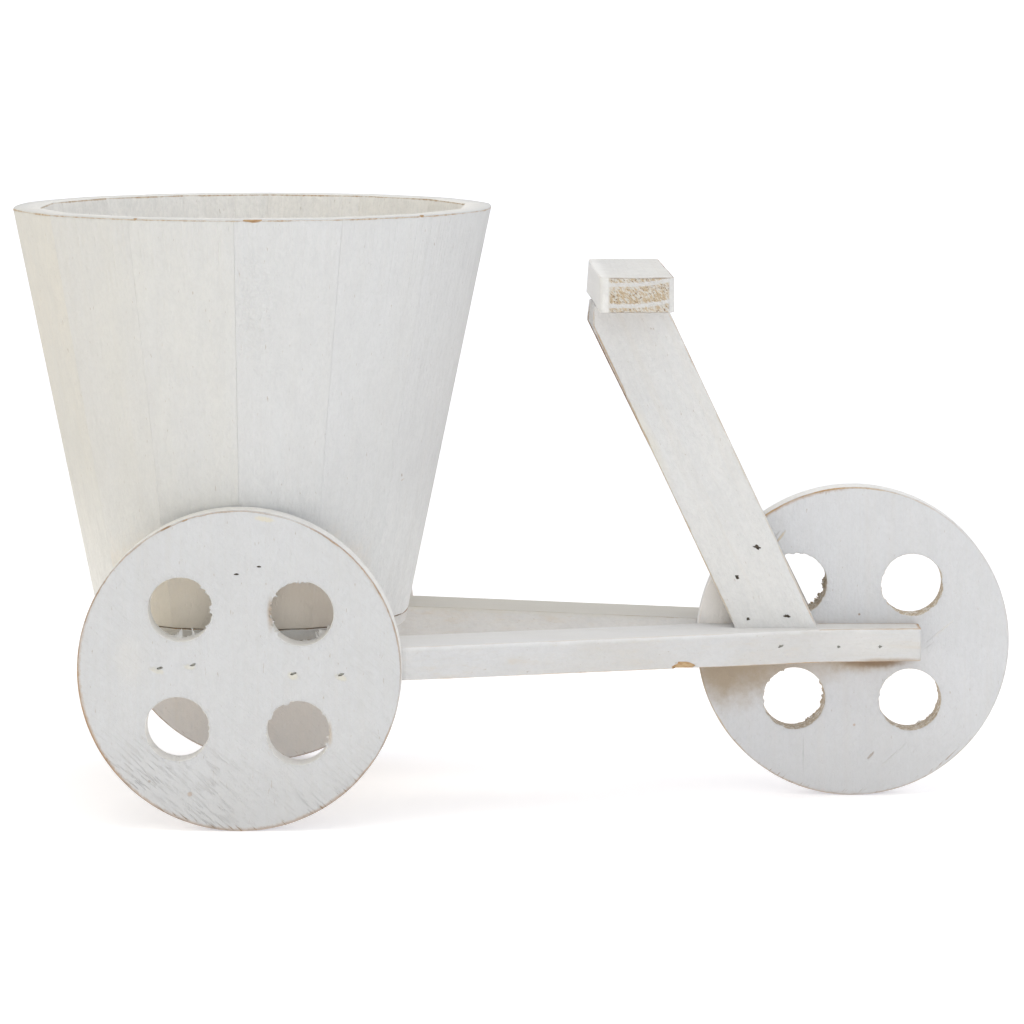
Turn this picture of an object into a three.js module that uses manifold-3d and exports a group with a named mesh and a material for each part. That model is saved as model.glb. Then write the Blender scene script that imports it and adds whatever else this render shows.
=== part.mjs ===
// A wooden planter in the shape of a tricycle. A bucket of tapered staves stands on two
// dog-leg rails, three drilled discs stand in for wheels, and two leaning posts carry a
// handlebar. Brads hold every joint, and nothing turns.
//
// Millimetres. +X points to the front wheel, +Y to the left side and +Z up. The origin
// is on the ground, under the middle of the planter.

import * as THREE from 'three';
import { mergeVertices } from 'three/addons/utils/BufferGeometryUtils.js';
import Module from 'manifold-3d';

// Where the main pieces stand
const REAR_X = -144.6; // centre of both rear wheels
const WHEELBASE = 332;
const FRONT_X = REAR_X + WHEELBASE; // centre of the front wheel
const BUCKET_X = REAR_X + 0.6; // middle of the bucket's floor
const GAP = 0.3; // clearance between pieces that touch

// Sawn stock
const BOARD = 18; // thickness of the wheels, rails and posts

// Wheels: discs with four drilled holes
const WHEEL_RADIUS = 86;
const WHEEL_SIDES = 72;
const HOLE_RADIUS = 17.2;
const HOLE_OFFSET = 32; // from the wheel's centre, along and across
const HOLE_SIDES = 28;
const REAR_WHEEL_OUTER = 116.4; // outer face, from the middle of the planter
const REAR_WHEEL_INNER = REAR_WHEEL_OUTER - BOARD;
const REAR_WHEEL_TURN = THREE.MathUtils.degToRad(-1.8);
const FRONT_WHEEL_TURN = THREE.MathUtils.degToRad(-0.6);

// Rails: boards laid flat, splayed from the front wheel out to the rear wheels
const RAIL_TOP = 96.3;
const RAIL_BOTTOM = RAIL_TOP - BOARD;
const RAIL_OUTER = REAR_WHEEL_INNER - GAP;
const RAIL_INNER = BOARD / 2 + GAP; // lies on the front wheel's face
const RAIL_REAR_WIDTH = 41;
const RAIL_TIP_WIDTH = 20;
const RAIL_BEND_WIDTH = 23.5;
const RAIL_REAR_END = REAR_X - 72;
const RAIL_OUTER_BEND = REAR_X + 88;
const RAIL_INNER_BEND = REAR_X + 80;
const RAIL_INNER_MEETS_WHEEL = FRONT_X - 86;
const RAIL_TIP_BEND = FRONT_X - 16;
const RAIL_TIP_END = FRONT_X + 36;

// Bucket: a floor disc under a ring of tapered staves
const FLOOR_BOTTOM = RAIL_TOP + GAP;
const FLOOR_THICKNESS = 7;
const FLOOR_RADIUS = 70.4; // the flat inside the staves
const FLOOR_SIDES = 84;
const STAVE_FOOT = FLOOR_BOTTOM + FLOOR_THICKNESS;
const RIM_HEIGHT = 326;
const RIM_RADIUS = 131.6; // at the joints between staves
const FLARE = 0.2029; // growth of the radius per unit of height
const BUCKET_LEAN = 0.0062; // drift of the bucket's middle to the front, per unit of height
const STAVE_THICKNESS = 13.5;
const STAVE_HOLLOW = 1.1; // how far a stave's middle lies inside the joints' circle
const STAVE_STEPS = 3; // flats across a stave's outer face
const STAVE_START = -51.6; // degrees from the right side, towards the front
const STAVE_WIDTHS = [25.2, 25.5, 25.2, 25.2, 25.5, 26, 25.5, 26, 27, 24, 25, 26, 27, 26.9];
const STAVE_SLIT = 0.1; // degrees left open on each side of a stave

// Posts: boards leaning to the rear, one on each face of the front wheel
const POST_FOOT = RAIL_TOP + GAP;
const POST_HEAD = 272.8;
const POST_LEVEL_WIDTH = 45.2; // width along a level cut
// The middle of each foot, its lean as horizontal run per unit of height, and the cut at the
// back of the head: where it starts at the top and where it meets the sloping edge
const POSTS = {
  right: { foot: FRONT_X - 43.2, lean: 0.473, cutTop: REAR_X + 188, cutEnd: REAR_X + 188 },
  left: { foot: FRONT_X - 42.6, lean: 0.4928, cutTop: REAR_X + 186.4, cutEnd: REAR_X + 185.1 },
};

// Handlebar
const BAR_LENGTH = 150;
const BAR_WIDTH = 40;
const BAR_THICKNESS = 18.7;
const BAR_X = REAR_X + 208.3;
const BAR_BOTTOM = POST_HEAD + GAP;
const BAR_TOP = BAR_BOTTOM + BAR_THICKNESS;
const BAR_YAW = THREE.MathUtils.degToRad(2.1); // left end slightly to the rear
const BAR_END_ROUND = 4.5;
const BAR_ROUND_STEPS = 4;

// Brads: flat wire nails with a T head, set just below the surface
const BRAD_WIDTH = 1.25;
const BRAD_THICKNESS = 1.05;
const BRAD_HEAD_WIDTH = 2.4;
const BRAD_HEAD_DEPTH = 0.9;
const BRAD_TIP_WIDTH = 0.4;
const BRAD_TIP_LENGTH = 2;
const BRAD_SET = 0.5;
const BRAD_LENGTH = 30;
const LONG_BRAD = 38;
const POCKET_RISE = 2; // how far a brad's pocket cutter stands out of the wood
// Turns about X that point a brad's shank into the wood
const DRIVE_LEFT = Math.PI;
const DRIVE_RIGHT = 0;
const DRIVE_DOWN = Math.PI / 2;
const DRIVE_UP = -Math.PI / 2;

// Brad places. Wheel brads: along and up from the wheel's centre.
const RIGHT_WHEEL_BRADS = [[-1, 52], [10.9, 56], [-41.9, 1.8], [-24.2, 3.6], [28.7, -1.1], [54, -1.5]];
const LEFT_WHEEL_BRADS = [[4, 51], [14, 55], [-44, 0.5], [-26, 2.5], [31, -0.5], [52, -2]];
// Rail brads: along and up from the front wheel's centre, and the brad's length
const RIGHT_RAIL_BRADS = [[-41.3, 2.3, LONG_BRAD], [-9.4, 0.7, BRAD_LENGTH], [13.5, 0.6, BRAD_LENGTH]];
const LEFT_RAIL_BRADS = [[-34, 1.2, LONG_BRAD], [-2, 1.8, BRAD_LENGTH], [21, 0.2, BRAD_LENGTH]];
// Post brads: along and up from the front wheel's centre
const RIGHT_POST_BRADS = [[-54.1, 55], [-65, 38.5], [-58.8, 15.2], [-37.5, 16.9]];
const LEFT_POST_BRADS = [[-50.6, 49.5], [-62.6, 32], [-54.6, 20], [-43.1, 14]];
// Handlebar brads: along from the bar's middle, two above each post
const BAR_BRAD_ROWS = [-5, 8];
// Staves whose feet are nailed through the floor, by their place in the ring
const NAILED_STAVES = [4, 6, 10, 12];
const FLOOR_BRAD_RADIUS = 79;

const WHITEWASH = { roughness: 0.85, metalness: 0 };
const FINISHES = {
  bucket: { color: 0xdcd9d0, ...WHITEWASH },
  wheel: { color: 0xd9d9d6, ...WHITEWASH },
  board: { color: 0xd8d6cf, ...WHITEWASH },
  brad: { color: 0x3b332c, roughness: 0.5, metalness: 0.8 },
};

const wasm = await Module();
wasm.setup();

const planter = new THREE.Group();

function place(name, geometry, finish, position = [0, 0, 0], rotation = [0, 0, 0]) {
  const mesh = new THREE.Mesh(geometry, new THREE.MeshStandardMaterial(FINISHES[finish]));
  mesh.name = name;
  mesh.position.set(...position);
  mesh.rotation.set(...rotation);
  planter.add(mesh);
  return mesh;
}

function extrude(shape, depth, curveSegments = 1) {
  return new THREE.ExtrudeGeometry(shape, { depth, curveSegments, bevelEnabled: false });
}

// ---- booleans ----

function toSolid(geometry) {
  const bare = geometry.clone();
  bare.deleteAttribute('normal');
  bare.deleteAttribute('uv');
  const merged = mergeVertices(bare);
  const vertProperties = new Float32Array(merged.attributes.position.array);
  const triVerts = new Uint32Array(merged.index.array);
  return new wasm.Manifold(new wasm.Mesh({ numProp: 3, vertProperties, triVerts }));
}

function fromSolid(solid) {
  const { vertProperties, triVerts } = solid.getMesh();
  const geometry = new THREE.BufferGeometry();
  geometry.setAttribute('position', new THREE.BufferAttribute(vertProperties, 3));
  geometry.setIndex(new THREE.BufferAttribute(triVerts, 1));
  geometry.computeVertexNormals();
  return geometry;
}

function worldBox(mesh) {
  mesh.updateWorldMatrix(true, false);
  return new THREE.Box3().setFromObject(mesh);
}

// Cuts the cutters that reach the mesh out of it, in the mesh's own frame
function carve(mesh, cutters) {
  const box = worldBox(mesh);
  const near = cutters.filter((cutter) => worldBox(cutter).intersectsBox(box));
  if (near.length === 0) return;
  const toLocal = mesh.matrixWorld.clone().invert();
  let solid = toSolid(mesh.geometry);
  for (const cutter of near) {
    const move = new THREE.Matrix4().multiplyMatrices(toLocal, cutter.matrixWorld);
    solid = solid.subtract(toSolid(cutter.geometry.clone().applyMatrix4(move)));
  }
  mesh.geometry = fromSolid(solid);
}

// ---- wheels ----

// The rim's flats are tangent to the wheel's circle, so the wheel stands on one of them
function wheelGeometry(turn) {
  const shape = new THREE.Shape();
  const corner = WHEEL_RADIUS / Math.cos(Math.PI / WHEEL_SIDES);
  for (let i = 0; i < WHEEL_SIDES; i++) {
    const a = (2 * Math.PI * (i + 0.5)) / WHEEL_SIDES;
    const point = [corner * Math.cos(a), corner * Math.sin(a)];
    if (i === 0) shape.moveTo(...point);
    else shape.lineTo(...point);
  }
  const reach = HOLE_OFFSET * Math.SQRT2;
  for (let quarter = 0; quarter < 4; quarter++) {
    const a = turn + Math.PI / 4 + (quarter * Math.PI) / 2;
    const hole = new THREE.Path();
    hole.absarc(reach * Math.cos(a), reach * Math.sin(a), HOLE_RADIUS, 0, 2 * Math.PI);
    shape.holes.push(hole);
  }
  const disc = extrude(shape, BOARD, HOLE_SIDES);
  return disc.rotateX(Math.PI / 2); // upright, from its near face back to y = -BOARD
}

function addWheels() {
  const upright = (name, x, y, turn) =>
    place(name, wheelGeometry(turn), 'wheel', [x, y, WHEEL_RADIUS]);
  return [
    upright('wheel_rear_right', REAR_X, -REAR_WHEEL_INNER, REAR_WHEEL_TURN),
    upright('wheel_rear_left', REAR_X, REAR_WHEEL_OUTER, REAR_WHEEL_TURN),
    upright('wheel_front', FRONT_X, BOARD / 2, FRONT_WHEEL_TURN),
  ];
}

// ---- rails ----

// Plan of the left rail: distance along, distance out from the middle of the planter
const RAIL_PLAN = [
  [RAIL_REAR_END, RAIL_OUTER - RAIL_REAR_WIDTH],
  [RAIL_INNER_BEND, RAIL_OUTER - RAIL_REAR_WIDTH],
  [RAIL_INNER_MEETS_WHEEL, RAIL_INNER],
  [RAIL_TIP_END, RAIL_INNER],
  [RAIL_TIP_END, RAIL_INNER + RAIL_TIP_WIDTH],
  [RAIL_TIP_BEND, RAIL_INNER + RAIL_BEND_WIDTH],
  [RAIL_OUTER_BEND, RAIL_OUTER],
  [RAIL_REAR_END, RAIL_OUTER],
];

function railOuterFace(x) {
  const run = (x - RAIL_OUTER_BEND) / (RAIL_TIP_BEND - RAIL_OUTER_BEND);
  const bend = RAIL_INNER + RAIL_BEND_WIDTH;
  if (run <= 1) return THREE.MathUtils.lerp(RAIL_OUTER, bend, run);
  const end = (x - RAIL_TIP_BEND) / (RAIL_TIP_END - RAIL_TIP_BEND);
  return THREE.MathUtils.lerp(bend, RAIL_INNER + RAIL_TIP_WIDTH, end);
}

function addRails() {
  return [['right', -1], ['left', 1]].map(([side, sign]) => {
    const plan = RAIL_PLAN.map(([x, out]) => new THREE.Vector2(x, sign * out));
    const board = extrude(new THREE.Shape(plan), BOARD);
    return place(`rail_${side}`, board, 'board', [0, 0, RAIL_BOTTOM]);
  });
}

// ---- bucket ----

// The bucket's outer radius at a height, on the circle through the staves' joints
function bucketRadius(z) {
  return RIM_RADIUS - (RIM_HEIGHT - z) * FLARE;
}

// A point on the bucket's plan, from an angle that starts at the right side
function onPlan(degrees, radius) {
  const a = THREE.MathUtils.degToRad(degrees);
  return new THREE.Vector2(radius * Math.sin(a), -radius * Math.cos(a));
}

// Start and end angle of each stave
function staveAngles() {
  let start = STAVE_START;
  return STAVE_WIDTHS.map((width) => {
    const angles = [start + STAVE_SLIT, start + width - STAVE_SLIT];
    start += width;
    return angles;
  });
}

function stavePlan(from, to) {
  const outer = [];
  for (let step = 0; step <= STAVE_STEPS; step++) {
    const across = (2 * step) / STAVE_STEPS - 1;
    const radius = RIM_RADIUS - STAVE_HOLLOW * (1 - across * across);
    outer.push(onPlan(THREE.MathUtils.mapLinear(across, -1, 1, from, to), radius));
  }
  const inner = RIM_RADIUS - STAVE_THICKNESS / Math.cos(THREE.MathUtils.degToRad((to - from) / 2));
  return [...outer, onPlan(to, inner), onPlan(from, inner)];
}

// Draws an upright solid in towards its axis below the rim, and leans it to the front
function taper(geometry, height) {
  const position = geometry.attributes.position;
  for (let i = 0; i < position.count; i++) {
    const x = position.getX(i);
    const y = position.getY(i);
    const z = position.getZ(i);
    const radius = Math.hypot(x, y);
    const scale = (radius - (height - z) * FLARE) / radius;
    position.setXY(i, x * scale + z * BUCKET_LEAN, y * scale);
  }
  geometry.computeVertexNormals();
  return geometry;
}

function addStaves() {
  const height = RIM_HEIGHT - STAVE_FOOT;
  return staveAngles().map(([from, to], i) => {
    const board = extrude(new THREE.Shape(stavePlan(from, to)), height);
    const name = `stave_${String(i + 1).padStart(2, '0')}`;
    return place(name, taper(board, height), 'bucket', [BUCKET_X, 0, STAVE_FOOT]);
  });
}

// The floor is stepped up inside the staves, level with their feet
function addFloor() {
  const ledge = FLOOR_THICKNESS - GAP;
  const outline = [
    [0, 0],
    [bucketRadius(FLOOR_BOTTOM) - STAVE_HOLLOW, 0],
    [bucketRadius(STAVE_FOOT) - STAVE_HOLLOW, ledge],
    [FLOOR_RADIUS, ledge],
    [FLOOR_RADIUS, FLOOR_THICKNESS],
    [0, FLOOR_THICKNESS],
  ].map(([radius, z]) => new THREE.Vector2(radius, z));
  const disc = new THREE.LatheGeometry(outline, FLOOR_SIDES).rotateX(Math.PI / 2);
  return place('bucket_floor', disc, 'bucket', [BUCKET_X, 0, FLOOR_BOTTOM]);
}

// The staves are shaved flat where the rear wheels bear on them
function wheelSeats() {
  const depth = 20;
  const block = new THREE.BoxGeometry(2 * WHEEL_RADIUS, depth, 2 * (WHEEL_RADIUS + GAP));
  return [-1, 1].map((sign) => {
    const seat = new THREE.Mesh(block);
    seat.position.set(REAR_X, sign * (REAR_WHEEL_INNER - GAP + depth / 2), WHEEL_RADIUS);
    return seat;
  });
}

// ---- posts and handlebar ----

// A post's board, from the middle of its foot
function postBoard({ foot, lean, cutTop, cutEnd }) {
  const half = POST_LEVEL_WIDTH / 2;
  const rise = POST_HEAD - POST_FOOT;
  const outline = [
    [-half, 0],
    [half, 0],
    [half - rise * lean, rise],
    [cutTop - foot, rise],
    [cutEnd - foot, (foot - half - cutEnd) / lean],
  ].map(([x, z]) => new THREE.Vector2(x, z));
  return extrude(new THREE.Shape(outline), BOARD).rotateX(Math.PI / 2);
}

function addPosts() {
  const inner = BOARD / 2 + GAP;
  const { right, left } = POSTS;
  return [
    place('post_right', postBoard(right), 'board', [right.foot, -inner, POST_FOOT]),
    place('post_left', postBoard(left), 'board', [left.foot, inner + BOARD, POST_FOOT]),
  ];
}

// Plan of the handlebar: a rectangle with rounded corners
function addHandlebar() {
  const x = BAR_WIDTH / 2;
  const y = BAR_LENGTH / 2;
  const round = BAR_END_ROUND;
  const shape = new THREE.Shape();
  shape.moveTo(x - round, -y);
  shape.absarc(x - round, -y + round, round, -Math.PI / 2, 0);
  shape.absarc(x - round, y - round, round, 0, Math.PI / 2);
  shape.absarc(-x + round, y - round, round, Math.PI / 2, Math.PI);
  shape.absarc(-x + round, -y + round, round, Math.PI, 1.5 * Math.PI);
  const bar = extrude(shape, BAR_THICKNESS, BAR_ROUND_STEPS);
  return place('handlebar', bar, 'board', [BAR_X, 0, BAR_BOTTOM], [0, 0, BAR_YAW]);
}

// ---- brads ----

// A brad lies along -Y from its head; a pocket is the same outline, larger by a clearance
function bradGeometry(length, clearance, rise) {
  const shank = BRAD_WIDTH / 2 + clearance;
  const head = BRAD_HEAD_WIDTH / 2 + clearance;
  const tip = BRAD_TIP_WIDTH / 2 + clearance;
  const neck = -BRAD_HEAD_DEPTH - clearance;
  const half = [[head, rise], [head, neck], [shank, neck], [shank, BRAD_TIP_LENGTH - length]];
  const right = [...half, [tip, -length - clearance]];
  const left = right.map(([x, y]) => [-x, y]).reverse();
  const points = [...right, ...left].map(([x, y]) => new THREE.Vector2(x, y));
  const thickness = BRAD_THICKNESS + 2 * clearance;
  return extrude(new THREE.Shape(points), thickness).translate(0, 0, -thickness / 2);
}

const pockets = [];

function addBrad(name, position, drive, length = BRAD_LENGTH) {
  place(name, bradGeometry(length, 0, 0), 'brad', position, [drive, 0, 0]);
  const pocket = new THREE.Mesh(bradGeometry(length, GAP, POCKET_RISE));
  pocket.position.set(...position);
  pocket.rotation.set(drive, 0, 0);
  pockets.push(pocket);
}

function addSideBrads() {
  const sides = [
    ['right', -1, DRIVE_LEFT, RIGHT_WHEEL_BRADS, RIGHT_RAIL_BRADS, RIGHT_POST_BRADS],
    ['left', 1, DRIVE_RIGHT, LEFT_WHEEL_BRADS, LEFT_RAIL_BRADS, LEFT_POST_BRADS],
  ];
  const postFace = BOARD / 2 + GAP + BOARD;
  for (const [side, sign, drive, wheelBrads, railBrads, postBrads] of sides) {
    const depth = (face) => sign * (face - BRAD_SET);
    wheelBrads.forEach(([x, z], i) => {
      const position = [REAR_X + x, depth(REAR_WHEEL_OUTER), WHEEL_RADIUS + z];
      addBrad(`wheel_${side}_brad_${i + 1}`, position, drive);
    });
    railBrads.forEach(([x, z, length], i) => {
      const position = [FRONT_X + x, depth(railOuterFace(FRONT_X + x)), WHEEL_RADIUS + z];
      addBrad(`rail_${side}_brad_${i + 1}`, position, drive, length);
    });
    postBrads.forEach(([x, z], i) => {
      const position = [FRONT_X + x, depth(postFace), WHEEL_RADIUS + z];
      addBrad(`post_${side}_brad_${i + 1}`, position, drive);
    });
  }
}

function addBarBrads() {
  const middle = BOARD / 2 + GAP + BOARD / 2;
  for (const [side, sign] of [['right', -1], ['left', 1]]) {
    BAR_BRAD_ROWS.forEach((along, i) => {
      const position = [BAR_X + along, sign * middle, BAR_TOP - BRAD_SET];
      addBrad(`handlebar_${side}_brad_${i + 1}`, position, DRIVE_DOWN);
    });
  }
}

function addFloorBrads() {
  const angles = staveAngles();
  NAILED_STAVES.forEach((stave, i) => {
    const [from, to] = angles[stave];
    const plan = onPlan((from + to) / 2, FLOOR_BRAD_RADIUS);
    const position = [BUCKET_X + plan.x, plan.y, FLOOR_BOTTOM + BRAD_SET];
    addBrad(`floor_brad_${i + 1}`, position, DRIVE_UP);
  });
}

const staves = addStaves();
const wood = [...staves, addFloor(), ...addWheels(), ...addRails(), ...addPosts(), addHandlebar()];
addSideBrads();
addBarBrads();
addFloorBrads();
staves.forEach((stave) => carve(stave, wheelSeats()));
wood.forEach((piece) => carve(piece, pockets));

export default planter;
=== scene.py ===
"""Looks of a whitewashed wooden tricycle planter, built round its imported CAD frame.

Every wooden node is replaced by a fine mesh with worn edges, torn drill holes and brad
pockets. The brads are the CAD nodes themselves. Lengths of the planter are in millimetres
here and are turned into metres when a mesh is made; the stage, lights and camera are in
metres. +X points to the front wheel and +Z up.
"""

import math

import bmesh
import bpy
import numpy as np
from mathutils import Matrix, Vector, geometry, kdtree, noise


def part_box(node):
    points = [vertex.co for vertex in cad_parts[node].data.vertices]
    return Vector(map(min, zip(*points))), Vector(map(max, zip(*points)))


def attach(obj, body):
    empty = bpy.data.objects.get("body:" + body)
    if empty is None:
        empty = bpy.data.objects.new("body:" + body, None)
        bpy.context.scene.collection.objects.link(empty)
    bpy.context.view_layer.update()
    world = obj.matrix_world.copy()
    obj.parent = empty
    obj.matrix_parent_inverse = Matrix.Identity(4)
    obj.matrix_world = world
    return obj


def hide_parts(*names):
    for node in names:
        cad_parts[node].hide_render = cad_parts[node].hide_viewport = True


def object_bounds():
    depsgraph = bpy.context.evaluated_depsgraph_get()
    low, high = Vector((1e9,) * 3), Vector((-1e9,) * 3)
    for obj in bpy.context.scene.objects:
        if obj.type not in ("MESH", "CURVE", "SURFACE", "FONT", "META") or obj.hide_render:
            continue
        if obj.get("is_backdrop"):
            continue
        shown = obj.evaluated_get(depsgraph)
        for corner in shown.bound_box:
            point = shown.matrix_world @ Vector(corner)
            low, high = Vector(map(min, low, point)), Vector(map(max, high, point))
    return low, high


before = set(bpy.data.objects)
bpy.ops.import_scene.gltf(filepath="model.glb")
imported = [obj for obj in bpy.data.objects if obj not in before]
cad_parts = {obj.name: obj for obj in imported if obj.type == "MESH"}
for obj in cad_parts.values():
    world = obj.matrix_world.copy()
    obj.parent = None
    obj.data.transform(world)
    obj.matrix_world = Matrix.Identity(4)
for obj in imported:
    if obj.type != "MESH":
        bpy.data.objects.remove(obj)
CAD_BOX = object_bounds()
MM = 0.001

# Facts of the wood that the node boxes don't give, in millimetres and degrees
HOLE_RADIUS = 17.2
HOLE_OFFSET = 32.0
REAR_WHEEL_TURN = -1.8
FRONT_WHEEL_TURN = -0.6
RAIL_REAR_WIDTH = 41.0
RAIL_BEND_WIDTH = 23.5
RAIL_TIP_WIDTH = 20.0
OUTER_BEND = 88.0  # ahead of the rear wheels' centre
INNER_BEND = 80.0
TIP_BEND = 16.0  # behind the front wheel's centre
POST_LEANS = {"right": 0.473, "left": 0.4928}
POST_CUT_SLANTS = {"right": 0.0, "left": 1.3}  # the cut at the back of each head
POST_LEVEL_WIDTH = 45.2
POST_DROP = 0.29  # the paint that closes the clearance under a post's foot
BAR_LENGTH = 150.0
BAR_WIDTH = 40.0
BAR_YAW = math.radians(2.1)
BAR_END_ROUND = 4.5
BAR_TWIST = 1.3  # how far the foot of its back stands out at the far end
RIM_RADIUS = 131.6
FLARE = 0.2029
LEAN = 0.0062
STAVE_THICKNESS = 13.5
STAVE_HOLLOW = 1.1
STAVE_START = -51.6
STAVE_WIDTHS = (25.2, 25.5, 25.2, 25.2, 25.5, 26, 25.5, 26, 27, 24, 25, 26, 27, 26.9)
STAVE_JOINT = 0.01  # degrees left at each side of a stave
WHEEL_GAP = 0.3  # from the staves to the rear wheels
# Chips out of the rim: stave, angle on the plan and (half length, half height)
RIM_CHIPS = ((2, 3.4, (5.6, 1.5)), (1, -24.5, (1.2, 0.7)), (3, 46.4, (1.8, 1.0)))
RAIL_CHIP_X = 93.0
RAIL_CHIP_SIZE = (6.5, 3.0)
FLOOR_FLAT = 70.4
FLOOR_RISE = 0.3

ARC_STEPS = 3  # in a quarter turn of a rounded edge

# Every piece takes its wood from another place in the grain: its seed times these steps
GRAIN_STEP = 37.0  # through the wood
STAVE_GRAIN_STEP = 150.0  # across it, from stave to stave
HALF_BOARD = 9.0
SEEDS = {
    "wheel_rear_right": 1, "wheel_rear_left": 2, "wheel_front": 3,
    "rail_right": 11, "rail_left": 12, "post_right": 21, "post_left": 22,
    "handlebar": 31, "stave": 41, "bucket_floor": 61,
}
RIM_CHIP_SEED = 40
RAIL_CHIP_SEED = 77


def core(name):
    """Where the middle of a board is in the grain."""
    return GRAIN_STEP * SEEDS[name]


def box_mm(node):
    """Lowest and highest corner of a CAD node, in millimetres."""
    low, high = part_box(node)
    return np.array(low) / MM, np.array(high) / MM


# ---- outlines ----


def wander(points, period, seed):
    """Smooth noise from about -1 to 1 at points of a plane."""
    return np.array(
        [noise.noise(Vector((p[0] / period, p[1] / period, seed))) for p in points]
    )


def counterclockwise(points):
    x, y = points[:, 0], points[:, 1]
    area = np.sum(x * np.roll(y, -1) - y * np.roll(x, -1))
    return points if area > 0 else points[::-1]


def fillet(corners, radius, steps=3):
    """The outline with each corner rounded."""
    rounded = []
    count = len(corners)
    for i, p in enumerate(corners):
        back, ahead = corners[i - 1] - p, corners[(i + 1) % count] - p
        reach = min(np.linalg.norm(back), np.linalg.norm(ahead))
        back, ahead = back / np.linalg.norm(back), ahead / np.linalg.norm(ahead)
        angle = math.acos(np.clip(back @ ahead, -1, 1))
        cut = radius / math.tan(angle / 2)
        if cut > 0.45 * reach or angle > math.radians(165):
            rounded.append(p)
            continue
        bisector = (back + ahead) / np.linalg.norm(back + ahead)
        centre = p + bisector * radius / math.sin(angle / 2)
        start, end = p + back * cut - centre, p + ahead * cut - centre
        sweep = math.pi - angle
        for k in range(steps + 1):
            t = k / steps
            arc = math.sin((1 - t) * sweep) * start + math.sin(t * sweep) * end
            rounded.append(centre + arc / math.sin(sweep))
    return np.array(rounded)


def resample(corners, step):
    """Points at most a step apart along a closed outline, corners kept."""
    points = []
    for a, b in zip(corners, np.roll(corners, -1, 0)):
        pieces = max(1, math.ceil(np.linalg.norm(b - a) / step))
        points += [a + (b - a) * k / pieces for k in range(pieces)]
    return np.array(points)


def circle(centre, radius, step):
    count = math.ceil(2 * math.pi * radius / step)
    a = 2 * np.pi * np.arange(count) / count
    return np.array(centre) + radius * np.stack([np.cos(a), np.sin(a)], 1)


def board_outline(corners, step=1.6, corner_radius=1.5):
    corners = counterclockwise(np.array(corners, float))
    return resample(fillet(corners, corner_radius), step)


# ---- slabs: an outline with holes, given a thickness and rounded edges ----


def inward(points):
    """Mitred normals that point into the wood."""
    a = points - np.roll(points, 1, 0)
    b = np.roll(points, -1, 0) - points
    a /= np.linalg.norm(a, axis=1)[:, None]
    b /= np.linalg.norm(b, axis=1)[:, None]
    normal_a = np.stack([-a[:, 1], a[:, 0]], 1)
    normal_b = np.stack([-b[:, 1], b[:, 0]], 1)
    return (normal_a + normal_b) / (1 + np.sum(normal_a * normal_b, 1))[:, None]


def inside(points, rings):
    """Which points lie in the wood, by counting the ring edges to their right."""
    result = np.zeros(len(points), bool)
    px, py = points[:, 0][:, None], points[:, 1][:, None]
    for ring in rings:
        x0, y0 = ring[:, 0], ring[:, 1]
        x1, y1 = np.roll(x0, -1), np.roll(y0, -1)
        rise = np.where(y1 == y0, 1e-12, y1 - y0)
        crosses = (y0 > py) != (y1 > py)
        right = px < (x1 - x0) * (py - y0) / rise + x0
        result ^= np.sum(crosses & right, 1) % 2 == 1
    return result


def nearest(points, targets):
    """Distance from each point to the nearest target."""
    tree = kdtree.KDTree(len(targets))
    for i, t in enumerate(targets):
        tree.insert((t[0], t[1], 0), i)
    tree.balance()
    return np.array([tree.find((p[0], p[1], 0))[2] for p in points])


def face_points(rings, spacing, rng):
    """Scattered points inside the rings, and how far each is from them."""
    every = np.concatenate(rings)
    low, high = every.min(0), every.max(0)
    rows = np.arange(low[1], high[1], spacing * 0.866)
    columns = np.arange(low[0], high[0], spacing)
    x, y = np.meshgrid(columns, rows)
    x = x + spacing / 2 * (np.arange(len(rows)) % 2)[:, None]
    grid = np.stack([x.ravel(), y.ravel()], 1)
    grid += rng.uniform(-0.12, 0.12, grid.shape) * spacing
    grid = grid[inside(grid, rings)]
    gap = nearest(grid, every)
    keep = gap > 0.6 * spacing
    return grid[keep], gap[keep]


def triangulate(rings, points):
    """Triangles between the rings, as indices into the rings' points and then points."""
    coords, edges = [], []
    for ring in rings:
        first, count = len(coords), len(ring)
        coords += [Vector(p) for p in ring]
        edges += [(first + i, first + (i + 1) % count) for i in range(count)]
    coords += [Vector(p) for p in points]
    out = geometry.delaunay_2d_cdt(coords, edges, [], 0, 1e-6)
    source = [ids[0] if ids else -1 for ids in out[3]]
    faces = [[source[v] for v in face] for face in out[2]]
    centres = np.array(
        [np.mean([out[0][v] for v in face], 0) for face in out[2]]
    ).reshape(-1, 2)
    kept = inside(centres, rings)
    return [f for f, keep in zip(faces, kept) if keep and min(f) >= 0]


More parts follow.
